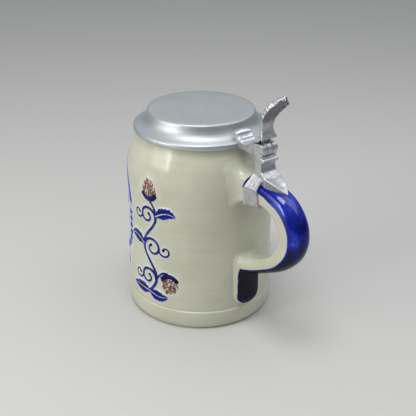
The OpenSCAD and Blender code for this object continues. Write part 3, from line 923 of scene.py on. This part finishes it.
def handle_paint(x, y, z):
    """Paint on the crown from just behind the root, and on the terminal inside a bare rim."""
    out, thick, _, _, run = along_handle(x, z)
    wall = barrel_r(z)
    radius = np.hypot(x, y)
    spill = 0.30 * vnoise(run * 30, y * 0.10 + (y > 0) * 9, 3) + 0.12 * vnoise(run * 90, y * 0.2, 5)
    margin = np.interp(run, [0.0, 0.30, 0.42, 0.75, 1.0], [0.4, 1.7, 0.6, -0.1, -0.2])
    margin = margin - 1.4 * step(5.0, 1.0, radius - wall) * (run > 0.7)
    crown = (thick / 2 - 0.3 - margin) - out + spill * np.interp(run, [0.2, 0.45, 0.8],
                                                                 [1.0, 0.5, 0.25])
    # on the upper root the paint starts just short of the strap
    strap_x = np.interp(z, [99.0, 102.3, 107.0, 111.8, 116.0], [53.6, 54.2, 56.3, 58.5, 60.0])
    ahead = np.maximum(strap_x - 1.9 + 0.5 * vnoise(z * 0.4, y * 0.3, 9) - x, 101.4 - z)
    crown = np.where((x < 62) & (z > 95), ahead, crown)
    crown = np.where(run > 0.995, FAR, crown)
    # terminal
    near_wall = radius < wall + 4.2
    across = np.abs(y - TAB_Y)
    face = tab_2d(y, z) - 0.15 + (0.4 + 0.4 * step(24, 42, z)) * step(2, -2, y)
    tab = face + 0.9 * step(21, 15, z) + 0.25 * vnoise(z * 0.35, y * 0.35, 8)
    tab = np.where((z < 47.5) & near_wall, np.maximum(tab, (wall + 0.9) - radius), FAR)
    tab = np.maximum(tab, wall + np.interp(z, [12.5, 19.0], [0.7, 1.75]) - radius)
    tab = np.maximum(tab, np.where(z > 40, across - 7.4 + 1.6 * (z - 45.5), -FAR))
    low_root = (z < 46.5) & near_wall
    crown = np.where(low_root, np.maximum(crown, across - 7.15), crown)
    crown = np.where(low_root & (z < 42.5), FAR, crown)
    # the cobalt's depth, thin on edges and on a worn patch of the -y side; along the loop it is
    # painted paler round the top bend and darker down the lower loop as painted light and shade,
    # and there darker towards the crown's sides
    pool_and_shade = np.interp(run, [0, 0.26, 0.34, 0.46, 0.58, 0.70, 0.85, 1.0],
                     [0.95, 0.48, 0.36, 0.70, 0.88, 1.20, 1.40, 1.45])
    pool_and_shade = pool_and_shade + 0.22 * (np.abs(y) / 7.6) ** 2 * (run > 0.45)
    worn = bell(run - 0.52, 0.05) * bell(y + 6.0, 2.4)
    pool_and_shade = pool_and_shade - 0.75 * worn
    pool_and_shade = pool_and_shade - 0.9 * step(0.45, 0.7, run) * bell(np.clip(crown, -9, 9) + 0.35, 0.75)
    # the terminal painted near black as painted shade, paler along its paint edge, with a pale
    # streak down its -y side as a painted highlight
    rim = 0.8 * bell(face + 0.5, 0.7) + 0.55 * bell(y + 4.6, 0.8) * step(38, 30, z)
    pool_and_shade = np.where(low_root, 1.5 - 0.9 * rim, pool_and_shade)
    gloss = bell(run - 0.36, 0.07) * step(2.5, -1.5, y) * (radius > wall + 8) + 0.4 * worn
    return {"gloss": np.clip(gloss, 0, 1), "blue": np.minimum(crown, tab), "pool_and_shade": pool_and_shade,
            "brown": np.full(len(x), FAR), "pale": np.clip(worn * 0.4, 0, 1),
            "crest_glaze_and_shade": np.zeros(len(x))}


def build_handle():
    grid = Grid(lo=(38.0, -24.0, 9.5), hi=(98.5, 24.0, 124.0), cell=0.5)
    x, y, z = grid.axes
    radius = np.sqrt(x ** 2 + y ** 2)
    wall = barrel_r(z)
    above = radius - wall
    sunk = wall - 0.9 - radius                    # the mesh ends this far within the wall
    place = along_handle(x, z)
    loop = handle_dist(place, y, soft=np.interp(place[-1], [0.70, 0.90], [2.4, 5.5]))
    fillet = np.interp(z, [30, 44, 50, 56, 84, 96, 102], [1.0, 1.8, 3.8, 4.4, 6.8, 7.4, 8.6])
    joined = smin(loop, above, fillet)
    top = above - (2.6 * step(12.5, 19, z) + 1.1 * step(19, 12.5, z))
    tab = smax(top, (tab_2d(y, z) + 0.34 * top) / 1.06, 0.7)
    tab = smax(tab, z - 49.0, 3.0)
    whole = smin(joined, smax(tab, sunk, 0.2), np.interp(z, [38, 46], [0.9, 2.6]))
    whole = np.minimum(whole, joined)
    # keep only what stands out from the barrel
    field = np.maximum(np.maximum(whole, sunk), whole - above + 0.005)
    verts, quads, normals = grid.surface(field)
    # where it meets the barrel it takes the barrel's own normals
    x, y, z = verts.T
    radius = np.hypot(x, y)
    weight = step(0.0, 0.22, radius - barrel_r(z))[:, None]
    reach = 0.5
    slope = (barrel_r(z + reach) - barrel_r(z - reach)) / (2 * reach)
    wall_normals = np.stack([x / radius, y / radius, -slope], 1)
    wall_normals /= np.linalg.norm(wall_normals, axis=1)[:, None]
    normals = normals * weight + wall_normals * (1 - weight)
    normals /= np.linalg.norm(normals, axis=1)[:, None]
    make("mug_handle", verts, quads, CLAY, "stein", "stoneware_handle",
         handle_paint(x, y, z), normals)


build_handle()


# ------------------------------------------------------------------ pewter castings
def relief_attrs(verts, normals, quads):
    """Bright worn edges and dark hollows, from how the surface bends."""
    links = [(quads[:, k], quads[:, (k + 1) % 4]) for k in range(4)]
    total, count = np.zeros(len(verts)), np.zeros(len(verts))
    for i, j in links:
        along = verts[j] - verts[i]
        size = np.maximum(np.linalg.norm(along, axis=1), 1e-6)
        curve = ((normals[j] - normals[i]) * along).sum(1) / (size * size)
        for end in (i, j):
            np.add.at(total, end, curve)
            np.add.at(count, end, 1)
    bend = total / np.maximum(count, 1)
    for _ in range(3):
        total, count = bend.copy(), np.ones(len(verts))
        for i, j in links:
            for here, there in ((i, j), (j, i)):
                np.add.at(total, here, bend[there])
                np.add.at(count, here, 1)
        bend = total / count
    return {"edge": np.clip(bend * 0.6 - 0.15, 0, 1),
            "cavity": np.clip(-bend * 0.6 * 1.3 - 0.05, 0, 1), "polish": np.zeros(len(verts))}


def casting(name, grid, field, body, piece, finish=None):
    """Finish may change the attributes, given the vertices' places and normals."""
    verts, quads, normals = grid.surface(field)
    attrs = relief_attrs(verts, normals, quads)
    if finish is not None:
        finish(verts.T, normals.T, attrs)
    make(name, verts, quads, CAST, body, piece, attrs, normals)


PIN_X, PIN_Z = 60.9, 127.0        # hinge axis
KNUCKLE_R = 4.62
HINGE_HALF = 5.9                  # half the hinge's width along y
MID_HALF = 2.05                   # half the gap between the outer knuckles


def ring(x, z, radius):
    return np.hypot(x - PIN_X, z - PIN_Z) - radius


def seam_grooves(x, y, z):
    """Two narrow grooves round the hinge barrel, where its knuckles meet, cut from it."""
    groove = np.abs(np.abs(y) - 2.0) - 0.20
    r = np.hypot(x - PIN_X, z - PIN_Z)
    return -np.maximum(groove, np.maximum((KNUCKLE_R - 0.42) - r, r - KNUCKLE_R - 0.4))


# the strap round the handle's top, side view: x, z
STRAP = [(58.9, 114.0), (58.5, 111.8), (56.3, 107.0), (54.2, 102.3), (53.9, 97.0),
         (54.6, 91.8), (55.4, 86.0), (66.6, 86.0), (67.0, 91.0), (66.2, 96.4), (65.3, 102.3),
         (66.0, 106.6), (67.3, 111.5), (68.3, 114.0)]


def build_strap():
    grid = Grid(lo=(51.5, -11.6, 86.5), hi=(72.0, 11.6, 114.4), cell=0.27)
    x, y, z = grid.axes
    gap = handle_dist(along_handle(x, z), y)
    side = poly_sdf(x, z, STRAP)
    thick = 1.45 + 1.5 * step(102.5, 105.5, z)
    # the shoulders slope down to either side
    outer = smax(gap - thick, 0.921 * np.abs(y) + 0.389 * z - 49.45, 0.35)
    outer = np.maximum(outer, z - 112.6)
    shell = np.maximum(outer, -(gap - 0.05))
    bead = 0.30 * bell(side + 0.55, 0.42)         # raised along the strap's edges
    field = smax(shell - bead * step(0.3, -0.6, -shell - 1.2),
                 side + 0.07 * vnoise(x * 0.9, z * 0.9, 2), 0.3)
    field = field + 0.04 * vnoise(x * 1.7 + 3, z * 0.6, 3)
    casting("handle_strap_casting", grid, field, "stein", "handle_strap")


# the shank's side view: x, z
SHANK = np.vstack([
    [(57.3, 124.6), (57.8, 122.2)],
    smooth([(58.5, 120.2), (58.9, 116.5), (58.7, 113.2), (58.3, 109.0)], 4),
    [(58.3, 102.0), (68.0, 102.0), (81.4, 103.2), (82.3, 104.6)],
    smooth([(81.6, 105.5), (78.6, 107.4), (74.8, 109.3), (71.5, 110.6), (69.0, 111.4)], 4),
    smooth([(67.3, 112.1), (65.6, 113.6), (64.6, 115.4), (64.2, 117.4), (64.4, 118.9),
            (65.0, 119.8)], 4),
    [(66.0, 120.1), (66.35, 120.8), (66.3, 121.7), (65.6, 122.2), (64.4, 122.7),
     (63.6, 124.6)]])
# one edge of its leaf in plan, mirrored for the other: x, y
LEAF_EDGE = [(64.5, -6.1), (68.2, -6.25), (70.6, -6.0), (73.4, -5.1), (76.2, -3.9),
             (79.0, -2.3), (81.2, -0.9)]
LEAF = LEAF_EDGE + [(82.3, 0)] + [(x, -y) for x, y in LEAF_EDGE[::-1]]


def build_shank():
    grid = Grid(lo=(54.0, -7.4, 101.5), hi=(84.0, 7.4, 133.2), cell=0.27)
    x, y, z = grid.axes
    side_y = np.abs(y)
    # upright: its sides flush with the knuckles'
    side = poly_sdf(x, z, SHANK)
    half = np.interp(z, [100, 112, 116, 119, 122, 125], [5.95, 5.9, 5.75, 5.75, 5.9, 5.9])
    upright = smax(side, side_y - half, 0.3)
    upright = np.where(x > 67.6, np.maximum(upright, x - 67.6), upright)
    # leaf: hollowed along its top, its edges left standing
    dish = (0.55 * bell(y, 3.2)) * step(66.0, 69.5, x) * step(81.5, 76, x)
    leaf_part = smax(grid.raised(side, dish), poly_sdf(x, y, LEAF), 0.22)
    leaf_part = np.where(z > 113.5, 5.0, leaf_part)
    field = smin(upright, leaf_part, 0.5)
    # outer knuckles, with room for the middle one
    knuckles = smax(ring(x, z, KNUCKLE_R), z - 130.75, 0.5)
    knuckles = smax(knuckles, np.maximum(side_y - HINGE_HALF, MID_HALF - side_y), 0.16)
    field = smin(field, knuckles, 0.3)
    field = np.maximum(field, -np.maximum(ring(x, z, 4.85), side_y - MID_HALF))
    field = smax(field, seam_grooves(x, y, z), 0.15)
    # clear of the handle under it
    gap = handle_dist(along_handle(x, z), y)
    field = smax(field, -(gap - 0.04), 0.15)
    field = field + 0.06 * vnoise(x * 0.8, z * 0.8, 4) + 0.035 * vnoise(x * 2.1, z * 2.1, 5)
    pin_hole = np.maximum(ring(x, z, 1.5), side_y - 9)

    def finish(place, normal, attrs):
        x, _, z = place
        # painted shade: the side faces where the leaf leaves the upright, and the +x faces in the
        # bend under the knuckles, are darkened
        shaded_flank = step(0.6, 0.9, np.abs(normal[1])) * step(67.5, 69.5, x) * step(112.5, 111, z)
        hollow = step(0.5, 0.9, normal[0]) * step(112.5, 115.5, z) * step(120.2, 118.5, z)
        attrs["cavity"] = np.clip(attrs["cavity"] + 0.65 * shaded_flank + 0.35 * hollow, 0, 1)
        # the leaf's upward faces: polish, and a bluish-pale painted sky reflection
        attrs["polish"] = 0.35 * (step(0.3, 0.7, normal[2]) * step(67.0, 69.5, x))

    casting("hinge_shank_casting", grid, np.maximum(field, -pin_hole), "stein", "hinge_shank",
            finish)


# the tang's side view: x, z
TANG = np.vstack([
    [(41.9, 127.2), (40.0, 129.6)],
    smooth([(38.6, 131.5), (38.4, 132.2), (39.0, 132.7), (40.2, 132.7), (41.5, 131.7),
            (42.6, 130.0), (44.2, 128.5), (46.4, 127.6), (48.8, 127.3), (51.2, 127.9),
            (53.6, 129.3), (55.8, 131.4), (57.6, 133.3)], 4),
    [(58.4, 134.6), (62.8, 134.6), (61.6, 132.9), (60.9, 131.9), (60.9, 129), (57.0, 124.3)],
    smooth([(56.2, 123.3), (52, 123.0), (48.8, 123.1), (46.2, 123.0), (44.6, 123.3)], 3),
    [(43.3, 124.6)]])
# the lid's outside, from crown through cove to the flange's edge: radius, z
LID_CROWN = [(0, 136.1), (16, 135.98), (28, 135.7), (31.6, 135.55), (32.7, 135.48),
             (33.4, 135.36), (33.95, 135.06), (34.25, 134.6), (34.45, 134.1)]
LID_TOP = np.vstack([
    LID_CROWN,
    smooth([(34.62, 133.4), (35.1, 131.7), (36.0, 129.9), (37.35, 128.3), (39.2, 127.05),
            (41.1, 126.25)], 5),
    smooth([(42.2, 125.8), (42.85, 125.35), (43.14, 124.7), (43.2, 123.9), (43.14, 123.1),
            (42.9, 122.5), (42.5, 122.15)], 3)])
LID_UNDER = [(42.3, 122.1), (41.95, 122.4), (41.8, 123.3), (41.3, 124.2), (40.6, 124.45),
             (38.6, 124.45), (36.9, 124.4), (36.3, 123.9), (36.2, 122.9), (36.2, 121.6),
             (35.9, 121.3), (34.9, 121.3), (34.6, 121.6), (34.45, 124.6), (33.9, 127.6),
             (33.1, 131.0), (32.2, 132.7), (30.8, 133.6), (27.5, 133.8)]


def build_tang():
    grid = Grid(lo=(34.5, -7.4, 120.8), hi=(67.2, 7.4, 136.6), cell=0.25)
    x, y, z = grid.axes
    side_y = np.abs(y)
    side = poly_sdf(x, z, TANG)
    half = np.interp(x, [36, 39, 42, 48, 54.5, 66], [5.5, 5.65, 5.75, 5.8, 5.88, 5.9])
    # the saddle's floor is hollowed between its edges, and its inner crest dips in the middle
    hollow = (0.30 * step(5.6, 2.0, side_y)) * step(41, 44, x) * step(57, 53, x)
    hollow = hollow + 0.018 * y ** 2 * step(42, 40, x)
    low = step(127, 125.4, z)
    profile = side * low + grid.raised(side, hollow) * (1 - low)
    field = smax(profile, side_y - half, 0.32)
    # soldered down on the lid's flange: a fillet of metal between the two
    solder = smax(np.maximum(40.0 - x, x - 46.0),
                  np.maximum(side_y - 5.2, np.abs(z - 126.2) - 1.9), 0.6)
    field = smin(field, solder, 1.0)
    radius = np.sqrt(x ** 2 + y ** 2)
    lid_z = np.interp(np.clip(radius, 0, 43), *LID_TOP[:-8].T)
    field = np.maximum(field, 37.4 - radius)
    field = np.maximum(field, np.where(radius < 42.9, lid_z - 0.8 - z, -9))
    knuckle = smax(smax(ring(x, z, KNUCKLE_R), z - 130.9, 0.4), side_y - 1.95, 0.16)
    # room for the outer knuckles
    field = smax(field, -np.maximum(ring(x, z, 4.72), 1.95 - side_y), 0.08)
    field = smin(field, knuckle, 0.3)
    field = smax(field, seam_grooves(x, y, z) - 9.0 * step(60.0, 59.0, x), 0.12)
    field = field + 0.045 * vnoise(x * 0.7, z * 0.7, 6)
    pin_hole = np.maximum(ring(x, z, 1.55), side_y - 9)

    def finish(place, normal, attrs):
        x, _, z = place
        # the tang's upward faces: polish, and a bluish-pale painted sky reflection
        attrs["polish"] = (step(0.25, 0.75, normal[2]) * step(37, 39, x) * step(58, 55, x)
                           * step(124, 126, z))

    casting("lid_tang_casting", grid, np.maximum(field, -pin_hole), "lid", "lid_tang", finish)


# the thumblift's rear face from its foot to its tip: x, z, thickness at the middle and at the
# edge, half width
THUMB = smooth([
    (64.2, 133.4, 4.9, 4.9, 5.85), (64.2, 134.6, 4.2, 4.2, 5.8), (63.8, 135.6, 2.7, 2.7, 5.5),
    (63.0, 137.2, 1.75, 1.75, 4.9), (62.7, 139.3, 1.45, 1.45, 4.4),
    (62.55, 141.2, 1.35, 1.35, 4.3), (62.8, 143.4, 1.5, 1.4, 4.7), (63.5, 145.6, 1.9, 1.5, 5.35),
    (64.9, 147.7, 2.8, 2.0, 5.95), (66.5, 149.9, 3.7, 2.6, 6.4), (68.5, 152.0, 4.1, 2.6, 6.95),
    (70.6, 154.2, 4.2, 2.4, 7.35), (71.6, 155.3, 4.1, 2.2, 7.1), (72.6, 156.6, 3.8, 2.0, 5.8),
    (73.6, 157.9, 3.3, 1.9, 4.0), (75.0, 159.1, 2.6, 1.8, 2.2), (76.4, 160.0, 2.0, 1.7, 0.9)], 6)


def build_thumb():
    grid = Grid(lo=(57.0, -8.6, 132.2), hi=(80.0, 8.6, 163.2), cell=0.25)
    x, y, z = grid.axes
    side_y = np.abs(y)
    index, raw, _ = nearest(THUMB, x, z)
    t = np.clip(raw, 0, 1)
    seg, length = lengths(THUMB[:, :2])
    start = THUMB[index, :2]
    edge = THUMB[index + 1, :2] - start
    # distance off the rear face, towards the lid's middle
    off = ((x - start[..., 0]) * (-edge[..., 1]) + (z - start[..., 1]) * edge[..., 0])
    off = off / seg[index]
    run = (length[index] + t * seg[index]) / length[-1]
    past_tip = np.where(index == len(THUMB) - 2, (raw - 1) * seg[-1], -9.0)
    mid_thick, edge_thick, half = stations_at(THUMB, index, t)
    leafy = step(0.40, 0.52, run)
    scallop = 0.26 * np.cos(run * 2 * np.pi * 9.0) + 0.22 * vnoise(run * 26, run * 0, 4)
    scallop = scallop * leafy * step(1.0, 0.90, run)
    across = np.clip(side_y / np.maximum(half, 0.5), 0, 1.2)
    thick = mid_thick + (edge_thick - mid_thick) * across ** 2.2
    # upper face: a worn leaf with a raised rib and veins, its edge bumpy
    rib = 0.22 * bell(y, 0.8)
    vein = 0.26 * np.cos((run * 30.0 - side_y * 0.40) * 2.0) * step(0.6, 1.8, side_y)
    bead = 0.30 * np.cos(run * 2 * np.pi * 17.0 + 2.0 * vnoise(run * 9, run * 0, 1))
    bead = bead * bell(side_y - half + 0.7, 0.8)
    front = off - thick - leafy * (rib + vein + bead)
    stem = step(0.38, 0.30, run) * step(0.10, 0.18, run)
    front = front + stem * 0.20 * (0.5 + 0.5 * np.cos(y * 2 * np.pi / 2.6))
    # rear: flutes along the blade, dying out on the flared foot
    flute = 0.46 * (0.5 + 0.5 * np.cos(y * 2 * np.pi / 2.4)) ** 1.6
    ripple = 0.10 * np.cos(run * 44.0 + side_y * 1.8) * leafy
    rear = -off + step(0.26, 0.42, run) * step(0.0, 0.9, half - side_y) * (flute + ripple)
    field = smax(smax(front, rear, 0.35), side_y - half - scallop, 0.45)
    field = smax(field, past_tip - 0.5, 0.5)
    # hollow under the foot, over the knuckles
    hollow = np.maximum(ring(x, z, 7.3), side_y - 4.9) + 9.0 * step(62.4, 61.4, x)
    field = smax(field, -hollow, 0.4)
    field = np.maximum(field, 133.6 - z)
    field = field + 0.05 * vnoise(x * 0.9, z * 0.9, 8)

    def finish(place, normal, attrs):
        z = place[2]
        # painted shade on the faces turned towards +x in the blade's middle
        back = step(0.1, 0.6, normal[0] - 0.35 * normal[2]) * step(139, 146, z)
        shade = 0.85 * back * (1 - 0.6 * attrs["edge"])
        attrs["cavity"] = np.clip(attrs["cavity"] + shade, 0, 1)
        # painted highlight on the upper blade's upward faces
        top = step(143, 150, z) * step(0.2, 0.7, normal[2])
        attrs["edge"] = np.clip(attrs["edge"] + 0.5 * top, 0, 1)

    casting("thumblift_casting", grid, field, "lid", "thumblift", finish)


build_strap()
build_shank()
build_tang()
build_thumb()


# ------------------------------------------------------------------ turned lid, pin and plugs
def circle(cols):
    return np.arange(cols) * 2 * np.pi / cols


def build_lid():
    radii = np.linspace(1.0, 31.0, 26)
    crown = np.stack([radii, np.interp(radii, *np.transpose(LID_CROWN))], 1)
    inner = [(r, 133.8 + 0.3 * (1 - (r / 27.5) ** 2)) for r in (24.0, 20.0, 15.0, 10.0, 5.0, 1.0)]
    rows = np.vstack([crown, LID_TOP[4:], smooth(LID_UNDER, 4), inner])
    radius, level = rows[:, 0][:, None], rows[:, 1][:, None]
    # faint turning marks, and a top a little out of true
    marks = 0.012 * np.sin(radius * 7.1) + 0.010 * np.sin(radius * 3.3 + 1)
    theta = circle(288)
    dent = (0.05 * np.cos(2 * theta + 0.4) + 0.03 * np.cos(3 * theta + 1.1)
            + 0.02 * np.cos(5 * theta))
    z = level + marks + dent * step(6, 34, radius) * (level > 125) - 0.06 * (level > 135)
    verts, faces = lathe_solid(radius * np.cos(theta), radius * np.sin(theta), z,
                               [[0, 0, z[0].mean()], [0, 0, rows[-1, 1]]], flip=True)
    make("turned_lid", verts, faces, TURNED, "lid", "pewter_lid")


def drum(name, profiles, mat, piece):
    """Profiles of (y, radius) lathed about the hinge axis."""
    verts, faces = np.zeros((0, 3)), []
    theta = circle(48)
    for profile in profiles:
        y, radius = np.array(profile, float).T[:, :, None]
        part, part_faces = lathe_solid(
            PIN_X + radius * np.cos(theta), np.repeat(y, len(theta), 1),
            PIN_Z + radius * np.sin(theta),
            [[PIN_X, y[0, 0], PIN_Z], [PIN_X, y[-1, 0], PIN_Z]], flip=True, start=len(verts))
        verts = np.vstack([verts, part])
        faces += part_faces
    make(name, verts, faces, mat, "stein", piece,
         {key: np.zeros(len(verts)) for key in ("edge", "cavity")})


PIN_END = [(5.1, 0.4), (5.1, 1.3), (4.95, 1.48)]
PIN = ([(-y, r) for y, r in PIN_END] + [(y, 1.49) for y in np.linspace(-4.6, 4.6, 9)]
       + PIN_END[::-1])
PLUG = [(5.12, 0.4), (5.12, 1.5), (5.5, 1.53), (5.86, 1.53), (5.885, 1.45), (5.89, 0.9),
        (5.89, 0.3)]
build_lid()
drum("hinge_pin_wire", [PIN], STEEL, "hinge_pin")
drum("pin_plug_pair", [[(side * y, r) for y, r in PLUG][::side] for side in (-1, 1)],
     CAST, "pin_plugs")

# ------------------------------------------------------------------ camera
CAM_POS = Vector((0.3671, -0.2837, 0.2931))
CAM_AIM = Vector((0.003064, 0.003965, 0.064336))
CAM_ROLL = math.radians(0.692)
UP = Vector((0, 0, 1))
forward = (CAM_AIM - CAM_POS).normalized()
right = forward.cross(UP).normalized()


def build_camera():
    cam_up = right.cross(forward)
    axis_x = right * math.cos(CAM_ROLL) + cam_up * math.sin(CAM_ROLL)
    axis_y = cam_up * math.cos(CAM_ROLL) - right * math.sin(CAM_ROLL)
    cam = bpy.data.cameras.new("camera")
    cam.lens, cam.sensor_width = 66.62, 36.0
    cam.clip_start, cam.clip_end = 0.01, 30
    ob = bpy.data.objects.new("camera", cam)
    bpy.context.scene.collection.objects.link(ob)
    pose = Matrix((axis_x, axis_y, -forward)).transposed().to_4x4()
    pose.translation = CAM_POS
    ob.matrix_world = pose
    bpy.context.scene.camera = ob


# ------------------------------------------------------------------ floor, lights and world
def stage_floor():
    mesh = bpy.data.meshes.new("floor")
    half = 6.0
    mesh.from_pydata([(-half, -half, 0), (half, -half, 0), (half, half, 0), (-half, half, 0)],
                     [], [(0, 1, 2, 3)])
    ob = bpy.data.objects.new("floor", mesh)
    bpy.context.scene.collection.objects.link(ob)
    mat = bpy.data.materials.new("pale_floor")
    mat.use_nodes = True
    inputs = mat.node_tree.nodes["Principled BSDF"].inputs
    inputs["Base Color"].default_value = (0.56, 0.555, 0.54, 1)
    inputs["Roughness"].default_value = 0.8
    inputs["Specular IOR Level"].default_value = 0.2
    mesh.materials.append(mat)


to_camera = Vector((-forward.x, -forward.y, 0)).normalized()


def towards(side, front, height, dist):
    """A place as seen by the camera: to its right, towards it, and up."""
    line = (right * side + to_camera * front + UP * height).normalized()
    return line * dist + Vector((0, 0, 0.07))


def area(name, pos, size, power, color, target=(0.0, 0.0, 0.075), glossy=True):
    light = bpy.data.lights.new(name, "AREA")
    light.shape = "RECTANGLE"
    light.size, light.size_y = size
    light.energy = power
    light.color = color
    ob = bpy.data.objects.new(name, light)
    bpy.context.scene.collection.objects.link(ob)
    ob.location = pos
    ob.rotation_mode = "QUATERNION"
    ob.rotation_quaternion = (Vector(target) - Vector(pos)).to_track_quat("-Z", "Y")
    ob.visible_glossy = glossy


def build_lights():
    area("window_left", towards(side=-0.95, front=0.45, height=0.42, dist=0.85),
         size=(0.50, 0.55), power=3.0, color=(1.0, 0.985, 0.95))
    area("strip_left", towards(side=-0.80, front=0.62, height=0.34, dist=0.80),
         size=(0.05, 0.34), power=0.55, color=(1.0, 0.99, 0.97))
    area("top_right", towards(side=0.50, front=0.0, height=0.87, dist=0.80),
         size=(0.55, 0.65), power=1.4, color=(0.97, 0.985, 1.0))
    over_handle = Vector((0.0814, -0.0048, 0.103))
    lean = right * -0.18 + to_camera * 0.16 + Vector((0, 0, 0.97))
    area("lamp", over_handle + lean * 0.72, size=(0.28, 0.36), power=2.5,
         color=(0.98, 0.99, 1.0), target=(0.08, 0, 0.1))
    area("front", towards(side=0.15, front=1.0, height=0.40, dist=1.2),
         size=(0.8, 0.8), power=0.85, color=(1, 1, 0.99), glossy=False)
    area("fill_right", towards(side=0.80, front=0.80, height=0.62, dist=1.2),
         size=(0.9, 0.9), power=0.95, color=(1, 1, 1), glossy=False)


def build_world():
    """A soft room: brighter overhead and behind the stein, darker round the horizon."""
    world = bpy.data.worlds.new("studio")
    bpy.context.scene.world = world
    world.use_nodes = True
    nodes, link = world.node_tree.nodes, world.node_tree.links.new
    background = nodes["Background"]
    view = nodes.new("ShaderNodeTexCoord").outputs["Generated"]
    split = nodes.new("ShaderNodeSeparateXYZ")
    link(view, split.inputs[0])
    behind = nodes.new("ShaderNodeVectorMath")
    behind.operation = "DOT_PRODUCT"
    link(view, behind.inputs[0])
    behind.inputs[1].default_value = tuple(Vector((forward.x, forward.y, 0)).normalized())

    def ramp(socket, span, out):
        node = nodes.new("ShaderNodeMapRange")
        node.interpolation_type = "SMOOTHSTEP"
        link(socket, node.inputs[0])
        for i, value in enumerate((*span, *out), 1):
            node.inputs[i].default_value = value
        return node.outputs[0]

    glow = nodes.new("ShaderNodeMath")
    glow.operation = "MULTIPLY"
    link(ramp(split.outputs[2], span=(0.10, 0.42), out=(0.0, 1.0)), glow.inputs[0])
    link(ramp(behind.outputs["Value"], span=(-0.5, 0.6), out=(0.25, 1.0)), glow.inputs[1])
    strength = nodes.new("ShaderNodeMath")
    strength.operation = "MULTIPLY_ADD"
    link(glow.outputs[0], strength.inputs[0])
    strength.inputs[1].default_value = 0.52       # gain of the glow
    strength.inputs[2].default_value = 0.14       # light from everywhere
    background.inputs[0].default_value = (0.94, 0.97, 1.0, 1)
    link(strength.outputs[0], background.inputs[1])


bpy.context.scene.view_settings.view_transform = "Standard"
build_camera()
stage_floor()
build_lights()
build_world()
